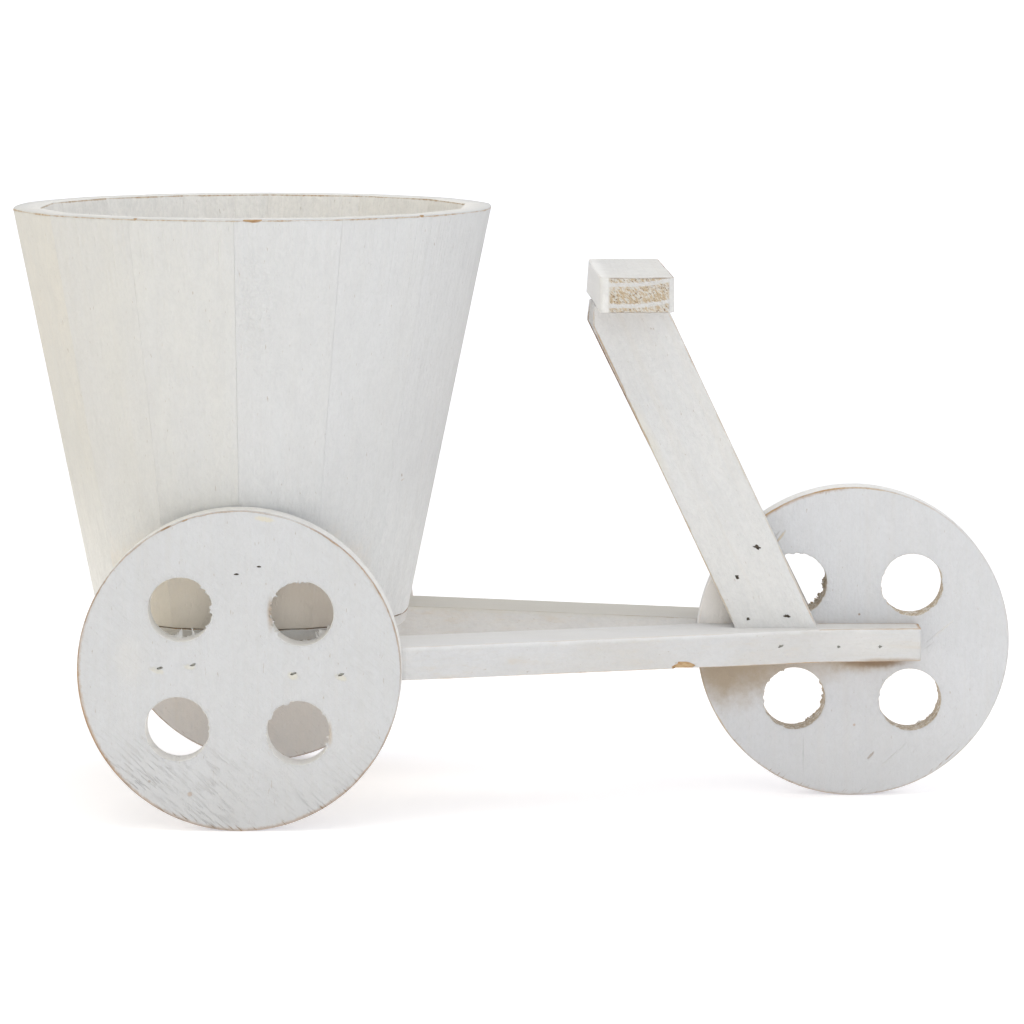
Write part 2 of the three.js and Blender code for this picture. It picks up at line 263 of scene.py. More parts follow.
class Slab:
    """A board's mesh in its own plane. edge is the distance past the rounding on a face,
    negative on the rounding and the sides; torn marks the walls of drilled holes."""

    def __init__(
        self, loops, thickness, rounding, seed, rows=6, spacing=2.6, tear=None, squash=1.0
    ):
        self.points, self.faces, self.edge, self.torn = [], [], [], []
        self.half = thickness / 2
        self.squash = np.array([squash, 1.0])  # how much of the rounding bites along X
        self.rng = np.random.default_rng(seed)
        caps = {1: [], -1: []}
        for index, loop in enumerate(loops):
            loop = loop if index == 0 else loop[::-1]
            self._add_sides(loop, index > 0, rounding, seed, rows, tear, caps)
        for side, rings in caps.items():
            self._add_face(side, rings, spacing)
        self.points = np.array(self.points)
        self.edge = np.array(self.edge)
        self.torn = np.array(self.torn)

    def _profile(self, top, bottom, rows):
        """(inset, height, edge) of each ring, from the bottom face to the top face."""
        turns = [math.pi / 2 * k / ARC_STEPS for k in range(ARC_STEPS + 1)]
        half = self.half
        for t in reversed(turns):
            height = -half + bottom * (1 - math.sin(t))
            yield bottom * (1 - math.cos(t)), height, -bottom * (1 - t * 2 / math.pi)
        for k in range(1, rows):
            share = k / rows
            height = (-half + bottom) * (1 - share) + (half - top) * share
            away = np.minimum(height + half - bottom, half - top - height)
            yield 0 * top, height, -np.maximum(top, bottom) - away
        for t in turns:
            height = half - top * (1 - math.sin(t))
            yield top * (1 - math.cos(t)), height, -top * (1 - t * 2 / math.pi)

    def _add_sides(self, loop, is_hole, rounding, seed, rows, tear, caps):
        normals, count = inward(loop), len(loop)
        top, bottom = rounding(loop, seed), rounding(loop, seed + 5.5)
        first = len(self.points)
        rings = list(self._profile(top, bottom, rows))
        for inset, height, edge in rings:
            if is_hole and tear is not None:
                inset = inset - tear(loop, height, self.rng)
            flat = loop + normals * self.squash * np.broadcast_to(inset, count)[:, None]
            self.points += [(*p, h) for p, h in zip(flat, np.broadcast_to(height, count))]
            self.edge += list(np.broadcast_to(edge, count))
            self.torn += [float(is_hole)] * count
        for j in range(len(rings) - 1):
            low, high = first + j * count, first + (j + 1) * count
            for i in range(count):
                k = (i + 1) % count
                self.faces.append((low + i, low + k, high + k, high + i))
        last = first + (len(rings) - 1) * count
        caps[-1].append(list(range(first, first + count)))
        caps[1].append(list(range(last, last + count)))

    def _add_face(self, side, rings, spacing):
        outlines = [np.array([self.points[i][:2] for i in ring]) for ring in rings]
        extra, gap = face_points(outlines, spacing, self.rng)
        ids = [i for ring in rings for i in ring]
        ids += range(len(self.points), len(self.points) + len(extra))
        self.points += [(x, y, side * self.half) for x, y in extra]
        self.edge += list(gap)
        self.torn += [0.0] * len(extra)
        for face in triangulate(outlines, extra):
            named = [ids[i] for i in face]
            self.faces.append(tuple(named if side > 0 else named[::-1]))


def even_rounding(radius, nick=0.0):
    """Edge rounding that wanders a little, and by nick where the edge is knocked."""

    def rounding(loop, seed):
        r = radius * (1 + 0.35 * wander(loop, 7, seed))
        return r + nick * np.maximum(0, wander(loop, 11, seed + 3) - 0.25)

    return rounding


# ---- from slabs to objects ----


def upright(centre):
    """A slab's plane stands along X and Z; its top faces the right side."""
    x, y, z = centre

    def to_world(p):
        return np.stack([x + p[:, 0], y - p[:, 2], z + p[:, 1]], 1)

    return to_world


def level(centre, yaw=0.0):
    """A slab lies flat, turned by yaw."""
    x, y, z = centre
    c, s = math.cos(yaw), math.sin(yaw)

    def to_world(p):
        return np.stack(
            [x + c * p[:, 0] - s * p[:, 1], y + s * p[:, 0] + c * p[:, 1], z + p[:, 2]], 1
        )

    return to_world


def spread_attributes(mesh, points, attributes):
    """Gives the mesh's vertices the attributes of the nearest original points."""
    tree = kdtree.KDTree(len(points))
    for i, p in enumerate(points):
        tree.insert(p * MM, i)
    tree.balance()
    match = [tree.find(v.co)[1] for v in mesh.vertices]
    for name, values in attributes.items():
        kind, field = ("FLOAT_VECTOR", "vector") if values.ndim == 2 else ("FLOAT", "value")
        layer = mesh.attributes.new(name, kind, "POINT")
        layer.data.foreach_set(field, values[match].astype(np.float32).ravel())


def mesh_object(name, points, faces):
    mesh = bpy.data.meshes.new(name)
    mesh.from_pydata([tuple(p * MM) for p in points], [], faces)
    mesh.update()
    obj = bpy.data.objects.new(name, mesh)
    bpy.context.scene.collection.objects.link(obj)
    return obj


def subtract(obj, cutters):
    """Cuts the cutters out of the object; the new faces take the cutters' materials."""
    points, faces, slots, materials = [], [], [], []
    for cutter_points, cutter_faces, material in cutters:
        if material not in materials:
            materials.append(material)
        faces += [tuple(i + len(points) for i in f) for f in cutter_faces]
        slots += [materials.index(material)] * len(cutter_faces)
        points += list(cutter_points)
    tool = mesh_object("cutter", points, faces)
    for material in materials:
        tool.data.materials.append(material)
    tool.data.polygons.foreach_set("material_index", slots)
    modifier = obj.modifiers.new("cut", "BOOLEAN")
    modifier.operation = "DIFFERENCE"
    modifier.solver = "EXACT"
    modifier.material_mode = "TRANSFER"
    modifier.object = tool
    graph = bpy.context.evaluated_depsgraph_get()
    cut = bpy.data.meshes.new_from_object(obj.evaluated_get(graph))
    obj.modifiers.clear()
    obj.data = cut
    bpy.data.objects.remove(tool)


def add_wood(name, slab, to_world, grain, material, cutters=(), worn=1.0, raw=0.0):
    """Makes a slab into a piece that stands for the CAD node of the same name."""
    points = to_world(slab.points)
    count = len(points)
    attributes = {
        "grain": grain,
        "edge": slab.edge,
        "torn": slab.torn,
        "worn": np.broadcast_to(worn, count) * (1 - slab.torn),
        "raw": np.broadcast_to(raw, count),
    }
    obj = mesh_object(f"{name}_wood", points, slab.faces)
    obj.data.materials.append(material)
    if cutters:
        subtract(obj, cutters)
    spread_attributes(obj.data, points, attributes)
    obj.data.shade_smooth()
    obj.data.set_sharp_from_angle(angle=math.radians(50))
    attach(obj, "root")
    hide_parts(name)
    return obj


def prism(centre, normal, along, size, depth, rng, material, sides=9, rise=1.0, rag=0.2):
    """A ragged plug, its long side along, from outside the surface down to a depth."""
    normal, along = np.array(normal, float), np.array(along, float)
    across = np.cross(normal, along)
    points, faces = [], []
    radii = rng.uniform(1 - rag, 1 + rag, sides)
    for offset, shrink in ((rise, 1.0), (-depth, 0.8)):
        for i, r in enumerate(radii):
            a = 2 * math.pi * i / sides
            flat = along * size[0] * math.cos(a) + across * size[1] * math.sin(a)
            points.append(np.array(centre) + normal * offset + flat * r * shrink)
    for i in range(sides):
        k = (i + 1) % sides
        faces.append((k, i, sides + i, sides + k))
    faces.append(tuple(range(sides)))
    faces.append(tuple(range(2 * sides - 1, sides - 1, -1)))
    return points, faces, material


def pockets(names, normal, size, seed, tilt=0.0, rag=0.2, sizes=()):
    """The ragged pockets that the named brads' heads sit in. sizes may give each brad's own
    half length, half height and tilt."""
    rng = np.random.default_rng(seed)
    sides = 9 if rag < 0.3 else 13
    cutters = []
    normal = np.array(normal, float)
    side = np.array([1.0, 0.0, 0.0])
    up = np.cross(side, normal) if normal[1] < 0 else np.cross(normal, side)
    for i, brad in enumerate(names):
        low, high = box_mm(brad)
        centre = (low + high) / 2
        tip = np.where(normal > 0, high, low)
        centre = np.where(normal != 0, tip, centre) + 0.5 * normal
        long, tall, angle = sizes[i] if i < len(sizes) else (*size, tilt)
        angle += rng.uniform(-0.1, 0.1)
        along = side * math.cos(angle) + up * math.sin(angle)
        cutters.append(
            prism(centre, normal, along, (long, tall), 1.5, rng, PIT_SHADE, sides=sides, rag=rag)
        )
    return cutters


# ---- shader graphs ----


class Graph:
    def __init__(self, name):
        self.material = bpy.data.materials.new(name)
        self.material.use_nodes = True
        self.tree = self.material.node_tree
        self.tree.nodes.clear()

    def node(self, kind, inputs=(), **settings):
        made = self.tree.nodes.new(kind)
        for key, value in settings.items():
            setattr(made, key, value)
        for key, value in dict(inputs).items():
            self.put(made.inputs[key], value)
        return made

    def put(self, socket, value):
        if isinstance(value, bpy.types.NodeSocket):
            self.tree.links.new(value, socket)
        else:
            socket.default_value = value

    def vector(self, name):
        return self.node("ShaderNodeAttribute", attribute_name=name).outputs["Vector"]

    def value(self, name):
        return self.node("ShaderNodeAttribute", attribute_name=name).outputs["Fac"]

    def math(self, operation, a, b=0.0):
        return self.node("ShaderNodeMath", {0: a, 1: b}, operation=operation).outputs[0]

    def plus(self, a, b):
        return self.math("ADD", a, b)

    def minus(self, a, b):
        return self.math("SUBTRACT", a, b)

    def times(self, a, b):
        return self.math("MULTIPLY", a, b)

    def vector_math(self, operation, *vectors):
        made = self.node("ShaderNodeVectorMath", enumerate(vectors), operation=operation)
        return made.outputs["Value" if operation == "LENGTH" else "Vector"]

    def axes(self, vector):
        return self.node("ShaderNodeSeparateXYZ", {0: vector}).outputs

    def turned(self, vector, degrees, kind="AXIS_ANGLE"):
        inputs = {"Vector": vector, "Angle": math.radians(degrees)}
        return self.node("ShaderNodeVectorRotate", inputs, rotation_type=kind).outputs[0]

    def noise(self, vector, scale, detail=3.0, roughness=0.55):
        """Noise from 0 to 1 with so many features per unit length on each axis."""
        inputs = {
            "Vector": self.vector_math("MULTIPLY", vector, scale),
            "Scale": 1.0,
            "Detail": detail,
            "Roughness": roughness,
        }
        return self.node("ShaderNodeTexNoise", inputs).outputs["Fac"]

    def ramp(self, value, low, high, start=0.0, end=1.0):
        """Smooth step from start at low to end at high."""
        inputs = {"Value": value, 1: low, 2: high, 3: start, 4: end}
        made = self.node("ShaderNodeMapRange", inputs, interpolation_type="SMOOTHSTEP")
        return made.outputs[0]

    def fall(self, value, low, high, start=1.0):
        return self.ramp(value, low, high, start, 0.0)

    def mix(self, factor, a, b):
        made = self.node("ShaderNodeMix", data_type="RGBA")
        self.put(made.inputs[0], factor)
        self.put(made.inputs[6], a)
        self.put(made.inputs[7], b)
        return made.outputs[2]

    def away(self, vector, centre, radii, turn=0.0):
        """Distance from a centre: 1 at the surface of the ellipsoid round it."""
        offset = self.vector_math("SUBTRACT", vector, centre)
        if turn:
            offset = self.turned(offset, turn)
        return self.vector_math("LENGTH", self.vector_math("DIVIDE", offset, radii))

    def spot(self, vector, centre, radii, turn):
        """1 inside an ellipsoid turned about the third axis, with a ragged, faded rim."""
        rim = self.noise(vector, *SPOT_RIM)
        away = self.plus(self.away(vector, centre, radii, turn), self.times(rim, 1.2))
        return self.fall(away, 1.15, 1.75)

    def stain_and_light_patch(self, vector, centre, radii):
        """1 inside an ellipsoid, fading out softly and unevenly."""
        uneven = self.noise(vector, *STAIN_AND_LIGHT_RIM)
        away = self.plus(self.away(vector, centre, radii), self.times(uneven, 0.9))
        return self.fall(away, 0.75, 1.6)

    def bump(self, height, distance):
        inputs = {"Height": height, "Distance": distance, "Strength": 1.0}
        return self.node("ShaderNodeBump", inputs).outputs["Normal"]

    def finish(self, color, roughness, normal, specular):
        shader = self.node(
            "ShaderNodeBsdfPrincipled",
            {"Base Color": color, "Roughness": roughness, "Normal": normal},
        )
        shader.inputs["Specular IOR Level"].default_value = specular
        out = self.node("ShaderNodeOutputMaterial")
        self.tree.links.new(shader.outputs[0], out.inputs[0])
        return self.material


def shade(red, green, blue):
    return (red, green, blue, 1.0)


BROWN = shade(0.33, 0.20, 0.11)
RUST = shade(0.50, 0.31, 0.17)
GOLD = shade(0.62, 0.46, 0.27)
BEIGE = shade(0.74, 0.63, 0.47)
TAN = shade(0.67, 0.57, 0.44)
THIN = shade(0.64, 0.57, 0.48)
GREY = shade(0.60, 0.59, 0.58)
STRAW = shade(0.78, 0.71, 0.54)
WHITE = shade(0.86, 0.83, 0.79)
BRIGHT = shade(0.96, 0.94, 0.905)
PORE = shade(0.42, 0.33, 0.24)
TORN_SHADE = shade(0.45, 0.34, 0.22)
SAWN = shade(0.46, 0.42, 0.38)
NICKED = shade(0.34, 0.23, 0.14)
END_PALE = shade(0.83, 0.78, 0.70)
END_GOLD = shade(0.68, 0.53, 0.35)
END_DARK = shade(0.32, 0.20, 0.11)
END_WHITE = shade(0.88, 0.86, 0.84)

COOL = shade(0.80, 0.785, 0.765)
WARM = shade(0.81, 0.79, 0.76)
CREAM = shade(0.80, 0.76, 0.70)
DISC = shade(0.72, 0.716, 0.718)
DISC_WARM = shade(0.705, 0.70, 0.70)
FRONT_DISC = shade(0.74, 0.733, 0.735)
FAR_DISC_WARM_SHADE = shade(0.80, 0.745, 0.69)
FILLER = shade(0.75, 0.715, 0.62)
SCRATCH_SHADE = shade(0.50, 0.47, 0.44)
RAIL = shade(0.735, 0.725, 0.72)
RAIL_WARM = shade(0.705, 0.68, 0.65)
RAIL_TOP_PAINTED_LIGHT = shade(0.90, 0.885, 0.87)
RAIL_KNOT = shade(0.44, 0.33, 0.23)
FAR_RAIL = shade(0.73, 0.715, 0.70)
FAR_RAIL_WARM = shade(0.785, 0.755, 0.71)
FAR_RAIL_TOP = shade(0.72, 0.68, 0.60)
BAR = shade(0.84, 0.82, 0.78)
INNER_PAINTED_LIGHT = shade(0.965, 0.935, 0.89)
LOW_STAVE_PAINTED_LIGHT = shade(0.925, 0.915, 0.89)
WARM_FOOT_PAINTED_LIGHT = shade(0.95, 0.865, 0.74)
SHADY_FOOT = shade(0.90, 0.80, 0.68)
STAVE_TONES = (
    shade(0.775, 0.748, 0.695),
    shade(0.755, 0.742, 0.708),
    shade(0.742, 0.732, 0.714),
    shade(0.755, 0.747, 0.735),
)
# Which of the tones each stave has: warmest on the left front, coolest on the right front,
# which is painted warm light from the left over tones that differ from stave to stave
STAVE_PAINT = (1, 1, 2, 2, 3, 3, 2, 1, 3, 2, 1, 2, 1, 0)

# Noises of the wood and its paint: features per millimetre along, across and through the
# wood, then detail and roughness where they aren't the usual ones
FIBRES = ((0.014, 0.75, 0.75), 4.0, 0.7)
BANDS = ((0.006, 0.13, 0.13),)
PATCHES = ((0.010, 0.025, 0.025),)
MOTTLES = ((0.30, 0.45, 0.45), 6.0, 0.8)
SMEARS = ((0.05, 0.11, 0.11), 4.0, 0.6)
PORES = ((0.20, 0.75, 0.75), 2.0)
RINGS = ((0.01, 0.5, 0.5),)
BREAKS = ((0.05, 0.05, 0.05), 5.0, 0.65)
TUFTS = ((0.45, 0.9, 0.9), 4.0, 0.7)
LUMPS = ((0.36, 0.46, 0.46), 2.0, 0.55)
END_STROKES = ((0.02, 1.25, 0.42), 3.0, 0.6)
END_DOTS = ((0.02, 1.15, 1.15), 2.0, 0.6)
RIDGES = ((0.004, 0.62, 0.62), 1.0, 0.5)
SAW_LINES = ((0.09, 1.05, 1.05), 2.0, 0.6)
SAW_PATCHES = ((0.018, 0.018, 0.018), 2.0)
SPOT_RIM = ((0.5, 0.9, 0.9), 4.0, 0.7)
STAIN_AND_LIGHT_RIM = ((0.09, 0.09, 0.09), 5.0, 0.7)

END_RING_STEP = 11.4  # between the white rings of the bar's end grain
END_RING_RISE = 0.006
END_STROKE_TURN = -42
RELIEF_DEPTH = 0.00035  # metres


def thin_paint(g, grain, paint, streak, thin, fibre, mottle, smear, band):
    """Paint through which fibres, clouds, wood and pores show."""
    shadow = g.fall(fibre, 0.30, 0.56)
    paint = g.mix(g.times(shadow, 0.26 * streak), paint, THIN)
    cloud = g.fall(mottle, 0.34, 0.62)
    paint = g.mix(g.times(cloud, 0.25), paint, GREY)
    dull = g.fall(smear, 0.34, 0.60)
    paint = g.mix(g.times(dull, 0.13), paint, GREY)
    through = g.ramp(g.plus(g.times(band, 0.6), g.times(fibre, 0.4)), 0.50, 0.68)
    paint = g.mix(g.times(through, thin), paint, TAN)
    pore = g.ramp(g.noise(grain, *PORES), 0.70, 0.77)
    return g.mix(g.times(pore, 0.5), paint, PORE)


def worn_line(g, grain, edge, worn, mottle, wear):
    """A thin broken line where a face meets its rounded edge."""
    breaks = g.noise(grain, *BREAKS)
    jag = g.times(g.minus(mottle, 0.5), 0.8)
    width = g.times(g.ramp(breaks, 0.36, 0.70, 0.22, 0.55), wear)
    away = g.math("DIVIDE", g.math("ABSOLUTE", g.plus(edge, jag)), width)
    line = g.times(g.fall(away, 0.4, 1.3), worn)
    return g.times(line, g.ramp(breaks, 0.33, 0.58, 0.45, 1.0))


def edge_dirt(g, edge, worn, mottle):
    """Dirt that fades into the face from a worn edge."""
    dirt = g.fall(g.plus(edge, g.times(g.minus(mottle, 0.5), 3.5)), 0.2, 1.9)
    dirt = g.times(dirt, g.ramp(edge, -0.5, -0.1))
    return g.times(dirt, g.ramp(worn, 0.75, 1.0))


def end_wood(g, grain, dot):
    """Bare end grain of the bar, with white rings that rise towards its front."""
    tilted = g.turned(grain, END_STROKE_TURN, "X_AXIS")
    stroke = g.noise(tilted, *END_STROKES)
    bare = g.mix(g.ramp(stroke, 0.42, 0.56), END_GOLD, END_PALE)
    bare = g.mix(g.times(g.fall(dot, 0.36, 0.43), 0.85), bare, END_DARK)
    axes = g.axes(grain)
    rise = g.math("MAXIMUM", g.plus(axes[1], 4.0), 0.0)
    rise = g.times(g.math("POWER", rise, 2.0), END_RING_RISE)
    ring = g.minus(g.minus(axes[2], core("handlebar")), rise)
    ring = g.math("COSINE", g.times(ring, 2 * math.pi / END_RING_STEP))
    ring = g.plus(ring, g.times(g.minus(dot, 0.5), 0.5))
    return g.mix(g.fall(ring, -0.93, -0.72, 0.85), bare, END_WHITE)


def saw_marks(g, grain, along, edge, color, saw, saw_turn):
    """Saw lines across a disc, scuffs low on it, a grey towards its bottom that is partly
    dirt and partly painted shade, and cuts into its lower rim.
    """
    lines = g.noise(g.turned(grain, saw_turn), *SAW_LINES)
    cut = g.fall(lines, 0.36, 0.46)
    place = g.ramp(g.noise(grain, *SAW_PATCHES), 0.40, 0.60, 0.3, 1.0)
    low = g.ramp(along, -72.0, -18.0, 1.6, 0.25)
    cut = g.times(g.times(cut, place), g.times(low, saw))
    color = g.mix(g.times(cut, 0.22), color, SAWN)
    # painted shade with some dirt: the disc greys towards its bottom
    color = g.mix(g.fall(along, -84.0, -30.0, 0.5), color, GREY)
    nick = g.times(g.fall(lines, 0.32, 0.38), g.fall(edge, 0.8, 3.5))
    nick = g.times(nick, g.fall(along, -66.0, -50.0, 0.9))
    return g.mix(nick, color, NICKED), g.times(cut, 0.8)


def whitewash(
    name, cool, warm, streak=0.5, thin=0.3, wear=1.0, stave=False, saw=0.0, saw_turn=48.0,
    fringe=0.0, spots=(), stains_and_painted_light=(), rough_at=None, end_grain=False, frayed_white=0.5,
    line_tints=(RUST, BROWN), painted_light_sides=False,
):
    """Matt white paint brushed thinly over wood, worn to bare wood along the edges. A spot
    is (centre, radii, turn, tint, strength, relief) and each entry of the soft patches, which
    hold real marks and painted light and shade, is (centre, radii, tint, strength), in the
    grain's millimetres and with the turn in degrees."""
    g = Graph(name)
    grain = g.vector("grain")
    edge, torn, worn, raw = (g.value(n) for n in ("edge", "torn", "worn", "raw"))
    along = g.axes(grain)[0]
    fibre, band, patch, mottle, smear = (
        g.noise(grain, *field) for field in (FIBRES, BANDS, PATCHES, MOTTLES, SMEARS)
    )

    paint = g.mix(g.ramp(patch, 0.30, 0.70), cool, warm)
    if stave:
        # painted light: the staves are paler towards their feet, lifting the shade of the
        # rails and wheels there
        paint = g.mix(g.fall(along, -100.0, -15.0), paint, LOW_STAVE_PAINTED_LIGHT)
        # painted light: the staves' inner faces, where raw is below 0, are painted paler than
        # the outside, as if lit
        paint = g.mix(g.times(raw, -1.0), paint, INNER_PAINTED_LIGHT)
    # painted light: the rounded edges, rims and hole walls of a disc are painted paler, as if
    # lit
    if painted_light_sides:
        paint = g.mix(g.fall(edge, -1.4, -0.7), paint, BRIGHT)
    paint = thin_paint(g, grain, paint, streak, thin, fibre, mottle, smear, band)

    rings = g.ramp(g.noise(grain, *RINGS), 0.35, 0.65)
    bare = g.mix(rings, GOLD, BROWN)
    line = worn_line(g, grain, edge, worn, mottle, wear)
    color = g.mix(line, paint, g.mix(rings, *line_tints))
    if fringe:
        color = g.mix(g.times(edge_dirt(g, edge, worn, mottle), fringe), color, RUST)

    # torn walls of drilled holes
    tuft = g.noise(grain, *TUFTS)
    frayed = g.mix(g.ramp(tuft, 0.38, 0.62), TORN_SHADE, BEIGE)
    covered = g.ramp(mottle, 0.66 - 0.36 * frayed_white, 0.74 - 0.36 * frayed_white)
    frayed = g.mix(covered, frayed, BRIGHT)
    color = g.mix(g.times(torn, g.fall(edge, -0.5, 0.0)), color, frayed)

    relief = g.times(fibre, 1.1 * streak)
    for height, share in ((mottle, 2.4), (smear, 2.4), (band, 1.2)):
        relief = g.plus(relief, g.times(height, share))

    for centre, radii, tint, strength in stains_and_painted_light:
        color = g.mix(g.times(g.stain_and_light_patch(grain, centre, radii), strength), color, tint)
    if rough_at:
        lumps = g.times(g.noise(grain, *LUMPS), g.stain_and_light_patch(grain, *rough_at))
        relief = g.plus(relief, g.times(lumps, 4.2))
    for centre, radii, turn, tint, strength, height in spots:
        mark = g.spot(grain, centre, radii, turn)
        color = g.mix(g.times(mark, strength), color, tint)
        relief = g.plus(relief, g.times(mark, height))

    if end_grain:
        dot = g.noise(grain, *END_DOTS)
        bare = end_wood(g, grain, dot)
        relief = g.plus(relief, g.times(g.times(dot, raw), 5.0))
    color = g.mix(g.math("MAXIMUM", raw, 0.0), color, bare)

    if stave:
        # ridges of the planing, strongest near the rim
        ridges = g.ramp(g.noise(grain, *RIDGES), 0.36, 0.62)
        ridges = g.times(ridges, g.ramp(along, 55.0, 108.0, 0.15, 1.0))
        relief = g.plus(relief, g.times(ridges, 0.55))
    if saw:
        color, cut = saw_marks(g, grain, along, edge, color, saw, saw_turn)
        relief = g.minus(relief, cut)
    relief = g.minus(relief, g.times(line, 0.7))
    relief = g.plus(relief, g.times(g.times(tuft, torn), 2.0))
    roughness = g.ramp(mottle, 0.3, 0.7, 0.74, 0.92)
    return g.finish(color, roughness, g.bump(relief, RELIEF_DEPTH), 0.2)


def brad_metal(name, smear):
    """Oxidised wire; smear is how much whitewash lies on the head."""
    g = Graph(name)
    where = g.node("ShaderNodeTexCoord").outputs["Object"]
    fine = g.noise(where, (900.0, 900.0, 900.0), 3.0)
    coarse = g.noise(where, (260.0, 260.0, 260.0), 3.0)
    steel = g.mix(g.ramp(fine, 0.35, 0.65), shade(0.03, 0.024, 0.018), shade(0.13, 0.10, 0.07))
    painted = g.ramp(coarse, 0.62 - 0.35 * smear, 0.72 - 0.35 * smear)
    color = g.mix(g.times(painted, 0.8), steel, shade(0.42, 0.42, 0.36))
    normal = g.bump(fine, 0.00008)
    return g.finish(color, g.ramp(fine, 0.3, 0.7, 0.45, 0.75), normal, 0.4)


def plain_wood(name, light, dark):
    """Bare wood inside a chip or a brad's pocket."""
    g = Graph(name)
    where = g.node("ShaderNodeTexCoord").outputs["Object"]
    fibre = g.noise(where, (250.0, 900.0, 900.0), 4.0, 0.65)
    color = g.mix(g.ramp(fibre, 0.38, 0.62), dark, light)
    return g.finish(color, 0.9, g.bump(fibre, 0.0003), 0.3)


# painted shade: the brads' pockets get near-black wood, dark wood with the pockets' shade
# painted in
PIT_SHADE = plain_wood("pit_wood_shade", shade(0.20, 0.145, 0.10), shade(0.07, 0.05, 0.035))
CHIP = plain_wood("chip_wood", GOLD, RUST)

# ---- wheels ----

RIGHT, LEFT = (0, -1, 0), (0, 1, 0)


def hole_centres(turn):
    reach = HOLE_OFFSET * math.sqrt(2)
    for quarter in range(4):
        a = math.radians(turn + 45 + 90 * quarter)
        yield np.array([reach * math.cos(a), reach * math.sin(a)])


def torn_walls(turn, sectors, seed):
    """How far torn fibres stand into the holes. A sector is (hole, from, to, side, depth):
    angles run from the front upwards and side is 1 at the right face, -1 at the left."""
    centres = list(hole_centres(turn))

    def tear(loop, height, rng):
        index = min(range(4), key=lambda k: np.linalg.norm(loop.mean(0) - centres[k]))
        spokes = loop - centres[index]
        angles = np.degrees(np.arctan2(spokes[:, 1], spokes[:, 0]))
        level = float(np.mean(height))
        out = np.zeros(len(loop))
        for number, (hole, start, end, side, depth) in enumerate(sectors):
            if hole != index:
                continue
            fibres = np.random.default_rng([seed, number, index])
            spikes = fibres.uniform(0, 1, len(loop))
            spikes = np.maximum(spikes, np.roll(spikes, 1)) * np.roll(spikes, 2)
            middle, half = (start + end) / 2, (end - start) / 2
            off = np.abs((angles - middle + 180) % 360 - 180)
            mask = np.clip((half - off) / 9, 0, 1)
            gate = np.clip(wander(spokes, 3.0, seed + number * 3.7) * 3.0 + 0.7, 0.1, 1)
            near = np.clip((side * level - 5.0) / 3.0, 0, 1)
            out += depth * mask * gate * spikes * near
        return out + 0.06 * rng.uniform(0, 1, len(loop))

    return tear


def add_wheel(name, turn, material, sectors, wear, brads=(), normal=RIGHT, sizes=()):
    """wear gives how worn the rim is at angles from the front upwards."""
    seed = SEEDS[name]
    low, high = box_mm(name)
    centre = (low + high) / 2
    radius = (high[2] - low[2]) / 2
    loops = [circle((0, 0), radius, 1.5)]
    loops += [circle(c, HOLE_RADIUS, 0.55) for c in hole_centres(turn)]
    tear = torn_walls(turn, sectors, seed)
    slab = Slab(loops, high[1] - low[1], wheel_rounding, seed, rows=11, tear=tear)
    p = slab.points
    grain = np.stack([p[:, 1], p[:, 0], p[:, 2] + core(name)], 1)
    angles = np.degrees(np.arctan2(p[:, 1], p[:, 0])) % 360
    worn = np.interp(angles, *zip(*wear), period=360)
    cutters = pockets(brads, normal, (1.5, 0.75), seed, sizes=sizes)
    add_wood(
        name, slab, upright(centre), grain, material, cutters, worn=worn
    )


def wheel_rounding(loop, seed):
    outer = np.linalg.norm(loop.mean(0)) < 5
    base = 0.55 if outer else 0.45
    r = base * (1 + 0.25 * wander(loop, 9, seed))
    return r + (0.7 if outer else 0.3) * np.maximum(0, wander(loop, 12, seed + 3) - 0.25)


def brads_of(kind, side, count):
    return [f"{kind}_{side}_brad_{i}" for i in range(1, count + 1)]


NEAR_TEARS = (
    (1, -46, 55, 1, 3.2),
    (1, 248, 305, -1, 6.5),
    (0, 135, 225, 1, 3.0),
    (0, 75, 125, 1, 2.2),
    (0, 262, 335, -1, 4.5),
    (3, 100, 220, 1, 2.2),
    (3, -32, 46, 1, 2.4),
    (2, -20, 40, 1, 1.6),
    (2, 192, 214, 1, 2.0),
)
NEAR_WEAR = (
    (0, 0.45), (25, 0.85), (55, 0.8), (75, 0.35), (100, 0.6), (130, 0.55), (150, 0.8),
    (215, 1.0), (250, 1.0), (300, 1.0), (325, 0.8), (340, 0.6),
)
FRONT_WEAR = (
    (0, 0.12), (40, 0.15), (65, 0.4), (88, 0.75), (100, 1.0), (125, 1.0), (145, 0.5),
    (180, 0.55), (225, 0.8), (270, 0.9), (300, 0.6), (330, 0.15),
)
EVEN_WEAR = ((0, 0.6), (90, 0.8), (180, 0.6), (270, 0.9))
FRONT_TEARS = (
    (0, -70, 20, 1, 1.5),
    (0, 60, 130, -1, 1.2),
    (1, -75, 10, -1, 4.0),
    (1, -40, 60, 1, 0.8),
    (1, 60, 120, 1, 1.2),
    (2, -85, 60, -1, 1.6),
    (2, 100, 260, 1, 1.1),
    (3, 110, 260, 1, 1.2),
    (3, -85, 40, -1, 1.6),
    (0, 110, 270, 1, 1.0),
)


def ragged_all_round(depth_right, depth_left):
    """Torn fibres round every hole, on both faces."""
    return [
        (hole, start, start + 90, side, depth)
        for hole in range(4)
        for start in (0, 80, 170, 260)
        for side, depth in ((1, depth_right), (-1, depth_left))
    ]


def on_face(name, depth, marks):
    """Spots on a disc's right face, some millimetres deep. A mark is (height, distance
    ahead, half height, half length, turn, tint, strength, relief)."""
    face = core(name) + HALF_BOARD
    return [((*mark[:2], face), (*mark[2:4], depth), *mark[4:]) for mark in marks]


